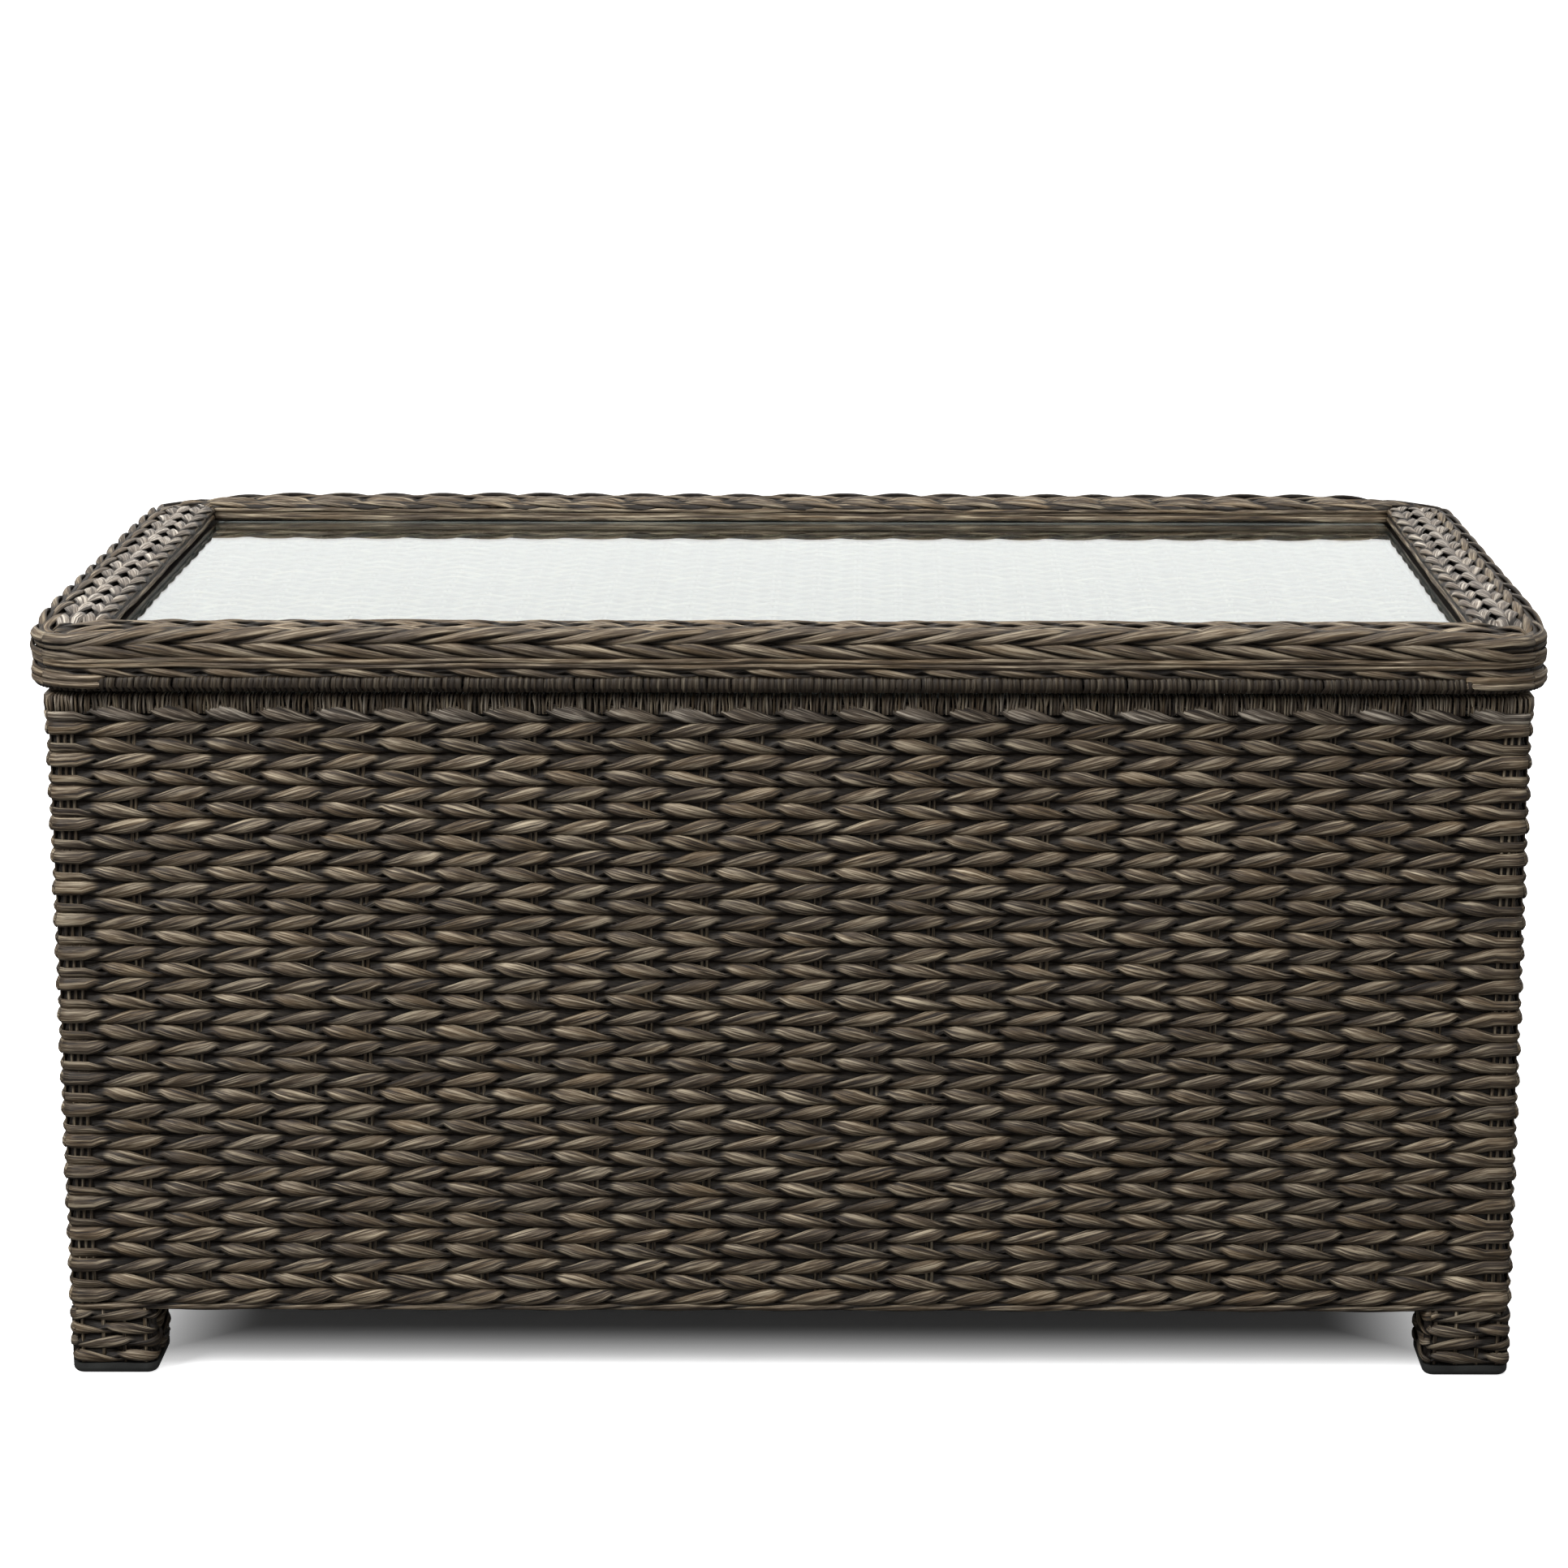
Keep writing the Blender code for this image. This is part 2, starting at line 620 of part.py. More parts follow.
def build_lid(materials, lid_pivot):
    """Rails, braided borders, woven panel, gasket and glass."""
    directions = {
        "front": (Vector((1, 0, 0)), Vector((0, 1, 0))),
        "right": (Vector((0, 1, 0)), Vector((-1, 0, 0))),
        "back": (Vector((-1, 0, 0)), Vector((0, -1, 0))),
        "left": (Vector((0, -1, 0)), Vector((1, 0, 0))),
    }
    for name, (along, inward) in directions.items():
        rail = swept_side_bm(rail_profile(), along, inward)
        add_object(f"lid_rail_{name}", rail, materials["frame"], lid_pivot)
        border = swept_side_bm(border_profile(), along, inward)
        add_object(f"lid_border_{name}", border, materials["wicker"], lid_pivot)

    half_x = LID_WIDTH / 2
    half_y = LID_DEPTH / 2
    panel_radius = max(LID_CORNER_RADIUS - PANEL_E, CLEARANCE)
    outline = rounded_outline(half_x - PANEL_E, half_y - PANEL_E, panel_radius, PANEL_TOP)
    panel = prism_bm(outline, (0.0, 0.0, -PANEL_THICKNESS))
    add_object("lid_panel", panel, materials["wicker"], lid_pivot)

    outer_low = (GASKET_E - half_x, GASKET_E - half_y, FLANGE_TOP + CLEARANCE)
    outer_high = (half_x - GASKET_E, half_y - GASKET_E, GLASS_BOTTOM - CLEARANCE)
    gasket = tube_bm(outer_low, outer_high, 2, GASKET_WIDTH)
    add_object("glass_gasket", gasket, materials["gasket"], lid_pivot)

    outline = rounded_outline(half_x - GLASS_E, half_y - GLASS_E, GLASS_CORNER_RADIUS, GLASS_BOTTOM)
    bm = prism_bm(outline, (0.0, 0.0, GLASS_THICKNESS))
    flat_edges = [edge for edge in bm.edges if abs(edge.verts[0].co.z - edge.verts[1].co.z) < 1e-6]
    bmesh.ops.bevel(bm, geom=flat_edges, offset=GLASS_EDGE_CHAMFER, segments=1, affect="EDGES")
    add_object("glass_top", bm, materials["glass"], lid_pivot)


def knuckle_outline(flip):
    """A hinge leaf's rolled end in the YZ plane, with the strip that joins it to its leaf."""
    bore = HINGE_PIN_RADIUS + CLEARANCE
    start = -math.pi / 2
    end = start + 2 * math.pi - HINGE_SLIT_ANGLE
    outer = arc_points((0.0, 0.0), KNUCKLE_RADIUS, start, end, ROUND_STEPS)
    inner = arc_points((0.0, 0.0), bore, end, start, ROUND_STEPS)
    root = -(KNUCKLE_RADIUS + 2 * HINGE_STANDOFF)
    strip_top = HINGE_LEAF_THICKNESS - KNUCKLE_RADIUS
    strip = [(root / 2, -bore), (root / 2, strip_top), (root, strip_top), (root, -KNUCKLE_RADIUS)]
    points = outer + inner + strip
    return [(HINGE_Y + y, HINGE_Z + flip * z) for y, z in points]


def hinge_leaf(name, x, flip, knuckles, material, pivot=None):
    """A hinge leaf with its rolled knuckles. Flip is 1 for the chest's leaf and -1 for the lid's."""
    half = HINGE_LENGTH / 2
    y0 = HINGE_Y - KNUCKLE_RADIUS - HINGE_STANDOFF - HINGE_LEAF_REACH
    y1 = HINGE_Y - KNUCKLE_RADIUS - HINGE_STANDOFF
    zs = sorted((HINGE_Z - flip * KNUCKLE_RADIUS, HINGE_Z - flip * (KNUCKLE_RADIUS - HINGE_LEAF_THICKNESS)))
    leaf = add_object(name, box_bm((x - half, y0, zs[0]), (x + half, y1, zs[1])), material, pivot)
    for start, end in knuckles:
        outline = [(x + start, y, z) for y, z in knuckle_outline(flip)]
        knuckle = add_object("knuckle", prism_bm(outline, (end - start, 0.0, 0.0)))
        combine(leaf, knuckle, "UNION")
    shade_round(leaf)


def build_hinges(materials, lid_pivot):
    """Two butt hinges, each with two leaves and a pin."""
    half = HINGE_LENGTH / 2
    third = HINGE_LENGTH / 3
    outer_knuckles = [(-half, -half + third), (half - third, half)]
    inner_knuckles = [(-third / 2 + CLEARANCE, third / 2 - CLEARANCE)]
    for side_name, side in SIDES:
        x = side * (LID_WIDTH / 2 - HINGE_INSET)
        hinge_leaf(f"hinge_chest_leaf_{side_name}", x, 1, outer_knuckles, materials["hinge"])
        hinge_leaf(f"hinge_lid_leaf_{side_name}", x, -1, inner_knuckles, materials["hinge"], lid_pivot)
        bm = cylinder_bm(HINGE_PIN_RADIUS, x - half, x + half, "X")
        bmesh.ops.translate(bm, vec=(0.0, HINGE_Y, HINGE_Z), verts=bm.verts)
        shade_round(add_object(f"hinge_pin_{side_name}", bm, materials["hinge"]))


def add_stud(plate, side, plate_face, y, z):
    """Join a ball stud to a plate, with the ball on the strut's line."""
    ends = sorted((side * STRUT_X, side * plate_face))
    neck = cylinder_bm(STUD_NECK_RADIUS, ends[0], ends[1], "X")
    bmesh.ops.translate(neck, vec=(0.0, y, z), verts=neck.verts)
    combine(plate, add_object("neck", neck), "UNION")
    ball = bmesh.new()
    bmesh.ops.create_uvsphere(ball, u_segments=ROUND_STEPS, v_segments=ROUND_STEPS // 2, radius=BALL_RADIUS)
    bmesh.ops.translate(ball, vec=(side * STRUT_X, y, z), verts=ball.verts)
    combine(plate, add_object("ball", ball), "UNION")
    shade_round(plate)


def build_strut_plates(materials, lid_pivot):
    """Plates with ball studs: on the back posts, and under the lid's side rails."""
    post_face = POST_INNER_X - CLEARANCE
    ear_inner = STRUT_X + STUD_NECK_LENGTH
    ear_outer = ear_inner + PLATE_THICKNESS
    ear_top = LID_BOTTOM - CLEARANCE
    seat_outer = LID_WIDTH / 2 - PANEL_E + SEAT_OVERLAP
    half_sink = PLATE_THICKNESS / 2
    for side_name, side in SIDES:
        xs = sorted((side * (post_face - PLATE_THICKNESS), side * post_face))
        low = (xs[0], CHEST_STUD_Y - PLATE_MARGIN, CHEST_STUD_Z - PLATE_HALF_HEIGHT)
        high = (xs[1], POST_INNER_Y + TUBE_SIDE / 2, CHEST_STUD_Z + PLATE_HALF_HEIGHT)
        plate = add_object(f"strut_plate_chest_{side_name}", box_bm(low, high), materials["hinge"])
        add_stud(plate, side, post_face - half_sink, CHEST_STUD_Y, CHEST_STUD_Z)

        xs = sorted((side * ear_inner, side * ear_outer))
        low = (xs[0], LID_STUD_Y - PLATE_MARGIN, LID_STUD_Z - PLATE_MARGIN)
        high = (xs[1], LID_STUD_Y + PLATE_MARGIN, ear_top)
        ear = add_object(f"strut_plate_lid_{side_name}", box_bm(low, high), materials["hinge"], lid_pivot)
        xs = sorted((side * (ear_inner + half_sink), side * seat_outer))
        low = (xs[0], LID_STUD_Y - PLATE_HALF_HEIGHT, ear_top - SEAT_THICKNESS)
        high = (xs[1], LID_STUD_Y + PLATE_HALF_HEIGHT, ear_top)
        combine(ear, add_object("seat", box_bm(low, high)), "UNION")
        add_stud(ear, side, ear_outer - half_sink, LID_STUD_Y, LID_STUD_Z)


def add_socket(name, side, material, pivot):
    """A ball socket on its pivot, open towards its stud, with a neck along the strut."""
    housing_radius = BALL_RADIUS + CLEARANCE + SOCKET_WALL
    bore_depth = BALL_RADIUS + CLEARANCE
    ends = sorted((-side * (bore_depth + SOCKET_WALL), side * SOCKET_FRONT))
    socket = add_on_axis(name, cylinder_bm(housing_radius, ends[0], ends[1], "X"), material, pivot)
    neck_start = bore_depth + SOCKET_WALL / 2
    neck = add_on_axis("neck", cylinder_bm(SOCKET_NECK_RADIUS, neck_start, SOCKET_LENGTH), None, pivot)
    combine(socket, neck, "UNION")
    ends = sorted((-side * bore_depth, side * (SOCKET_FRONT + SOCKET_WALL)))
    bore = add_on_axis("bore", cylinder_bm(BALL_RADIUS + CLEARANCE, ends[0], ends[1], "X"), None, pivot)
    combine(socket, bore, "DIFFERENCE")
    shade_round(socket)


def build_struts(materials, lid_pivot):
    """Two gas struts. Each cylinder turns on the chest's stud and each rod on the lid's stud."""
    cylinder_top = STRUT_SEAT + CYLINDER_LENGTH
    rod_bore = ROD_RADIUS + CLEARANCE
    cylinder_profile = [
        (0.0, STRUT_SEAT),
        (CYLINDER_RADIUS, STRUT_SEAT),
        (CYLINDER_RADIUS, cylinder_top),
        (rod_bore, cylinder_top),
        (rod_bore, cylinder_top - CYLINDER_MOUTH),
        (CYLINDER_BORE, cylinder_top - CYLINDER_MOUTH),
        (CYLINDER_BORE, STRUT_SEAT + CYLINDER_END),
        (0.0, STRUT_SEAT + CYLINDER_END),
    ]
    piston_radius = CYLINDER_BORE - CLEARANCE
    rod_profile = [
        (0.0, STRUT_SEAT),
        (ROD_RADIUS, STRUT_SEAT),
        (ROD_RADIUS, ROD_END - PISTON_LENGTH),
        (piston_radius, ROD_END - PISTON_LENGTH),
        (piston_radius, ROD_END),
        (0.0, ROD_END),
    ]
    for side_name, side in SIDES:
        chest_stud = (side * STRUT_X, CHEST_STUD_Y, CHEST_STUD_Z)
        cylinder_pivot = add_empty(f"cylinder_pivot_{side_name}", chest_stud, STRUT_TILT)
        cylinder = turned_bm(cylinder_profile)
        shade_round(add_on_axis(f"strut_cylinder_{side_name}", cylinder, materials["tube"], cylinder_pivot))
        add_socket(f"strut_cylinder_socket_{side_name}", side, materials["foot"], cylinder_pivot)

        lid_stud = (side * STRUT_X, LID_STUD_Y, LID_STUD_Z)
        rod_pivot = add_empty(f"rod_pivot_{side_name}", lid_stud, STRUT_TILT + math.pi, lid_pivot)
        rod = turned_bm(rod_profile)
        shade_round(add_on_axis(f"strut_rod_{side_name}", rod, materials["rod"], rod_pivot))
        add_socket(f"strut_rod_socket_{side_name}", side, materials["foot"], rod_pivot)


def build_buffers(materials):
    """Rubber buffers on the front rim."""
    y = -(FRAME_Y + POST_INNER_Y) / 2
    for side_name, side in SIDES:
        bm = cylinder_bm(BUFFER_RADIUS, RIM_TOP + CLEARANCE, LID_BOTTOM - CLEARANCE)
        bmesh.ops.translate(bm, vec=(side * (LID_WIDTH / 2 - BUFFER_INSET), y, 0.0), verts=bm.verts)
        shade_round(add_object(f"rim_buffer_{side_name}", bm, materials["gasket"]))


def main():
    clear_scene()
    materials = make_materials()
    lid_pivot = add_empty("lid_pivot", (0.0, HINGE_Y, HINGE_Z))
    build_chest_frame(materials)
    build_walls(materials)
    build_rim_and_legs(materials)
    build_feet(materials)
    build_lid(materials, lid_pivot)
    build_hinges(materials, lid_pivot)
    build_strut_plates(materials, lid_pivot)
    build_struts(materials, lid_pivot)
    build_buffers(materials)


main()
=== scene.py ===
"""The finished look of a wicker storage chest used as a coffee table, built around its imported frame."""

import math

import bpy
import numpy as np
from mathutils import Matrix, Vector


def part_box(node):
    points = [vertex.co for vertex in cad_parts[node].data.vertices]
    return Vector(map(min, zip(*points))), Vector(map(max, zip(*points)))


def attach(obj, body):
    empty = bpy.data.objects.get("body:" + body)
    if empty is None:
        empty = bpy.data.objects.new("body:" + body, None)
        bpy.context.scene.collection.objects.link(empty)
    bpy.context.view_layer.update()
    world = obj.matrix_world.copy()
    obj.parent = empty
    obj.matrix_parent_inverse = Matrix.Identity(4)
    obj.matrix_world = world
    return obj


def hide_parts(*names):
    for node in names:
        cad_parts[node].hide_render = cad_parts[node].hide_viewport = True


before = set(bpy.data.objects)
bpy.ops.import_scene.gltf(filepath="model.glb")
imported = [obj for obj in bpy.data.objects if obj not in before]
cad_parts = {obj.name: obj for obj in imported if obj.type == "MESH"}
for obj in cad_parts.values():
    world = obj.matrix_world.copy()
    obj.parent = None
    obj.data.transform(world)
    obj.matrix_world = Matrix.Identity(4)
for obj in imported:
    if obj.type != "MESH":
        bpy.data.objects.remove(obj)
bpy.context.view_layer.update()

bl_info = {
    "name": "Wicker coffee table",
    "version": (1, 0, 0),
    "blender": (4, 5, 0),
    "location": "View3D > Sidebar > Table",
    "description": "Weaves a wicker storage chest and finishes its lid, glass, struts and feet",
    "category": "Add Mesh",
}

SIDES = ("front", "right", "back", "left")
ENDS = ("right", "left")
CORNERS = ("front_left", "front_right", "back_left", "back_right")
QUARTER = math.pi / 2
UP = np.array((0.0, 0.0, 1.0))
WHITE = (1.0, 1.0, 1.0, 1.0)

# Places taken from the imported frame, in metres
WALL_LOW, WALL_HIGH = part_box("wall_front")
BOX_X = WALL_HIGH.x
BOX_Y = -WALL_LOW.y
WALL_TOP = WALL_HIGH.z
WALL_BOTTOM = WALL_LOW.z
RIM_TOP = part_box("rim_wrap")[1].z
POST_INNER_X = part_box("post_front_right")[0].x
LID_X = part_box("lid_border_right")[1].x
LID_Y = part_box("lid_border_back")[1].y
LID_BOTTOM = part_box("lid_border_front")[0].z
LID_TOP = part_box("lid_border_front")[1].z
GLASS_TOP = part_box("glass_top")[1].z
PANEL_LOW, PANEL_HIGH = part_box("lid_panel")

# Shapes read from the photograph, in metres
WALL_RADIUS = 0.010
LID_RADIUS = 0.045
BORDER_WIDTH = 0.050
# Rows that are nearer than this to the lid's edge run round its corners
OUTER_ROWS = 0.015
# The lid's top rows sink by this much at a corner, and start to sink this far from it
CORNER_SINK = 0.0078
SINK_REACH = 0.085
# In this zone next to a wall's corner the twist nearly rests, at this phase
CORNER_ZONE = 0.020
CORNER_PHASE = math.radians(36.0)


class TableWeave(bpy.types.PropertyGroup):
    """Sizes of the weave."""

    rows: bpy.props.IntProperty(
        name="Wall rows", description="Twined rows from the rim to the bottom edge", default=38, min=4)
    first_row_drop: bpy.props.FloatProperty(
        name="First row drop", description="From the wall's top to the middle of the first row",
        default=0.0107, unit="LENGTH")
    row_pitch: bpy.props.FloatProperty(
        name="Row pitch", description="Height from one wall row to the next", default=0.01178, unit="LENGTH")
    long_leaves: bpy.props.IntProperty(
        name="Leaves, long wall", description="Crossings of a row along the front or back",
        default=25, min=3)
    short_leaves: bpy.props.IntProperty(
        name="Leaves, short wall", description="Crossings of a row along one end", default=13, min=3)
    strand_width: bpy.props.FloatProperty(
        name="Strand width", description="Full width of a wall strand", default=0.0106, unit="LENGTH")
    strand_thickness: bpy.props.FloatProperty(
        name="Strand thickness", description="Full thickness of a wall strand",
        default=0.0046, unit="LENGTH")
    lift: bpy.props.FloatProperty(
        name="Lift", description="How far a strand rises and falls along its row",
        default=0.0028, unit="LENGTH")
    swing: bpy.props.FloatProperty(
        name="Swing", description="How far a strand goes to the front and to the back",
        default=0.0036, unit="LENGTH")
    border_pitch: bpy.props.FloatProperty(
        name="Border pitch", description="Length of one leaf of the lid's border",
        default=0.0440, unit="LENGTH")
    wrap_pitch: bpy.props.FloatProperty(
        name="Rim wrap pitch", description="Spacing of the fine wraps round the rim",
        default=0.0024, unit="LENGTH")


class TableColours(bpy.types.PropertyGroup):
    """Colours of the finishes, as sRGB hex."""

    wicker_dark: bpy.props.StringProperty(
        name="Wicker, dark", description="Grooves between the fibres", default="1F1710")
    wicker_mid: bpy.props.StringProperty(
        name="Wicker, mid", description="Most of a strand", default="4E4337")
    wicker_light: bpy.props.StringProperty(
        name="Wicker, light", description="Worn ridges of a strand", default="B3A58D")
    wicker_warm: bpy.props.StringProperty(
        name="Wicker, warm", description="Tan strands among the grey ones", default="695740")
    # The colour of the painted shade in the weave's gaps and on the strands' flanks
    wicker_painted_shade: bpy.props.StringProperty(
        name="Wicker, grime", description="Dust and shade deep in the weave", default="0C0603")


def linear(text):
    """An sRGB hex colour as a linear RGBA tuple."""
    parts = [int(text[i:i + 2], 16) / 255 for i in (0, 2, 4)]
    return tuple(c / 12.92 if c <= 0.04045 else ((c + 0.055) / 1.055) ** 2.4 for c in parts) + (1.0,)


def add_node(tree, kind, settings=None, values=None, links=None, stops=()):
    """Add a node, set its properties, sockets and colour stops, and link other nodes' sockets into it."""
    node = tree.nodes.new(kind)
    for key, value in (settings or {}).items():
        setattr(node, key, value)
    for key, value in (values or {}).items():
        node.inputs[key].default_value = value
    for key, source in (links or {}).items():
        tree.links.new(source, node.inputs[key])
    for number, (place, text) in enumerate(stops):
        elements = node.color_ramp.elements
        element = elements[number] if number < len(elements) else elements.new(place)
        element.position = place
        element.color = linear(text)
    return node


def new_material(name):
    """A material with its Principled shader, ready for nodes."""
    material = bpy.data.materials.new(name)
    material.use_nodes = True
    return material, material.node_tree, material.node_tree.nodes["Principled BSDF"]


def resin_wicker(name, dark, mid, light, warm, painted_shade, gain=1.0, soft=0.0):
    """Extruded polyethylene strand, embossed with fibres along its length and coloured in streaks.

    The eye sees long fine ridges, pale on top and dark between, with whole strands greyer or warmer.
    """
    material, tree, shader = new_material(name)
    uv = add_node(tree, "ShaderNodeUVMap", {"uv_map": "strand"})
    tone = add_node(tree, "ShaderNodeAttribute", {"attribute_name": "tone"})
    split = add_node(tree, "ShaderNodeSeparateXYZ", links={0: uv.outputs["UV"]})
    place = add_node(tree, "ShaderNodeCombineXYZ", links={0: split.outputs[0], 1: split.outputs[1]})
    shift = add_node(tree, "ShaderNodeMath", {"operation": "MULTIPLY"}, {1: 37.0}, {0: tone.outputs["Fac"]})
    # Length, width, detail, roughness and distortion of the fibres, of bundles of fibres, and of the slow
    # change of colour along a strand
    layers = []
    for length, width, detail, coarseness, twist in (
            (0.030, 0.0011, 3.0, 0.6, 0.4), (0.060, 0.0026, 2.0, 0.5, 0.0), (0.090, 0.030, 1.0, 0.5, 0.0)):
        stretched = add_node(tree, "ShaderNodeMapping", None, {"Scale": (1 / length, 1 / width, 1.0)},
                             {"Vector": place.outputs[0]})
        layers.append(add_node(tree, "ShaderNodeTexNoise", {"noise_dimensions": "4D"},
            {"Scale": 1.0, "Detail": detail, "Roughness": coarseness, "Distortion": twist},
            {"Vector": stretched.outputs[0], "W": shift.outputs[0]}))
    fine, coarse, slow = layers
    fibre = add_node(tree, "ShaderNodeMath", {"operation": "MULTIPLY_ADD"}, {1: 0.62},
                     {0: fine.outputs["Fac"]})
    part = add_node(tree, "ShaderNodeMath", {"operation": "MULTIPLY"}, {1: 0.38},
                    {0: coarse.outputs["Fac"]})
    tree.links.new(part.outputs[0], fibre.inputs[2])
    grey = add_node(tree, "ShaderNodeValToRGB", None, None, {"Fac": fibre.outputs[0]},
                    ((0.40 - soft, dark), (0.64 + soft, light), (0.50, mid)))
    tan = add_node(tree, "ShaderNodeValToRGB", None, None, {"Fac": fibre.outputs[0]},
                   ((0.40 - soft, dark), (0.66 + soft, light), (0.50, warm)))
    blend = add_node(tree, "ShaderNodeMath", {"operation": "MULTIPLY_ADD", "use_clamp": True},
                     {1: 2.6, 2: -1.05}, {0: slow.outputs["Fac"]})
    colour = add_node(tree, "ShaderNodeMix", {"data_type": "RGBA"},
                      None, {0: blend.outputs[0], 6: grey.outputs["Color"], 7: tan.outputs["Color"]})
    level = add_node(tree, "ShaderNodeMath", {"operation": "MULTIPLY_ADD"},
                     {1: 0.46 * gain, 2: 0.77 * gain}, {0: tone.outputs["Fac"]})
    # The palest strands turn greyer; on the tops of the lid's two ends this is part of the painted light
    greying = add_node(tree, "ShaderNodeMapRange", None, {1: 1.0, 2: 2.2, 3: 1.0, 4: 0.55},
                      {0: tone.outputs["Fac"]})
    shade = add_node(tree, "ShaderNodeHueSaturation", None, None,
                     {"Saturation": greying.outputs[0], "Value": level.outputs[0],
                      "Color": colour.outputs[2]})
    # Painted shade darkens a strand's flanks and back, and the strands deep in the weave
    painted_shade_amount = add_node(tree, "ShaderNodeAttribute", {"attribute_name": "painted_shade"})
    painted_shade_cover = add_node(tree, "ShaderNodeMapRange", {"interpolation_type": "SMOOTHSTEP"},
                     {1: 0.10, 2: 0.72, 3: 0.0, 4: 0.93}, {0: painted_shade_amount.outputs["Fac"]})
    painted_shade_mix = add_node(tree, "ShaderNodeMix", {"data_type": "RGBA"}, {7: linear(painted_shade)},
                      {0: painted_shade_cover.outputs[0], 6: shade.outputs["Color"]})
    tree.links.new(painted_shade_mix.outputs[2], shader.inputs["Base Color"])
    rough = add_node(tree, "ShaderNodeMapRange", None, {3: 0.66, 4: 0.44}, {0: fibre.outputs[0]})
    tree.links.new(rough.outputs[0], shader.inputs["Roughness"])
    bump = add_node(tree, "ShaderNodeBump", None, {"Strength": 1.0, "Distance": 0.0014},
                    {"Height": fibre.outputs[0]})
    tree.links.new(bump.outputs["Normal"], shader.inputs["Normal"])
    shader.inputs["IOR"].default_value = 1.5
    shader.inputs["Specular IOR Level"].default_value = 0.28
    return material


def solid_finish(name, low, high, grain, cloud, rough, bump, metallic=0.0, stretch=(1.0, 1.0, 1.0)):
    """A finish of fine grain over slow clouds of colour, both at real sizes in metres."""
    material, tree, shader = new_material(name)
    place = add_node(tree, "ShaderNodeTexCoord").outputs["Object"]
    near = add_node(tree, "ShaderNodeMapping", None, {"Scale": tuple(k / grain for k in stretch)},
                    {"Vector": place})
    fine = add_node(tree, "ShaderNodeTexNoise", None, {"Scale": 1.0, "Detail": 3.0},
                    {"Vector": near.outputs[0]})
    wide = add_node(tree, "ShaderNodeTexNoise", None, {"Scale": 1.0 / cloud, "Detail": 4.0},
                    {"Vector": place})
    both = add_node(tree, "ShaderNodeMath", {"operation": "MULTIPLY_ADD"}, {1: 0.45},
                    {0: fine.outputs["Fac"]})
    part = add_node(tree, "ShaderNodeMath", {"operation": "MULTIPLY"}, {1: 0.55}, {0: wide.outputs["Fac"]})
    tree.links.new(part.outputs[0], both.inputs[2])
    colour = add_node(tree, "ShaderNodeValToRGB", None, None, {"Fac": both.outputs[0]},
                      ((0.36, low), (0.64, high)))
    tree.links.new(colour.outputs["Color"], shader.inputs["Base Color"])
    span = add_node(tree, "ShaderNodeMapRange", None, {1: 0.35, 2: 0.65, 3: rough[0], 4: rough[1]},
                    {0: both.outputs[0]})
    tree.links.new(span.outputs[0], shader.inputs["Roughness"])
    raised = add_node(tree, "ShaderNodeBump", None, {"Strength": 0.6, "Distance": bump},
                      {"Height": fine.outputs["Fac"]})
    tree.links.new(raised.outputs["Normal"], shader.inputs["Normal"])
    shader.inputs["Metallic"].default_value = metallic
    return material


def float_glass():
    """Toughened float glass: clear and flat, faintly green, with a trace of wiping left on it.

    Seen low, it mirrors the room. Seen from above, the weave shows through it.
    """
    material, tree, shader = new_material("toughened_float_glass")
    shader.inputs["Base Color"].default_value = linear("E9F4EF")
    shader.inputs["Transmission Weight"].default_value = 1.0
    shader.inputs["IOR"].default_value = 1.52
    place = add_node(tree, "ShaderNodeTexCoord").outputs["Object"]
    # Wiping marks: 180 mm long and 25 mm wide
    wipe = add_node(tree, "ShaderNodeMapping", None, {"Scale": (1 / 0.18, 1 / 0.025, 1.0)},
                    {"Vector": place})
    marks = add_node(tree, "ShaderNodeTexNoise", None, {"Scale": 1.0, "Detail": 4.0},
                     {"Vector": wipe.outputs[0]})
    rough = add_node(tree, "ShaderNodeMapRange", None, {1: 0.45, 2: 0.75, 3: 0.0, 4: 0.018},
                     {0: marks.outputs["Fac"]})
    tree.links.new(rough.outputs[0], shader.inputs["Roughness"])
    return material


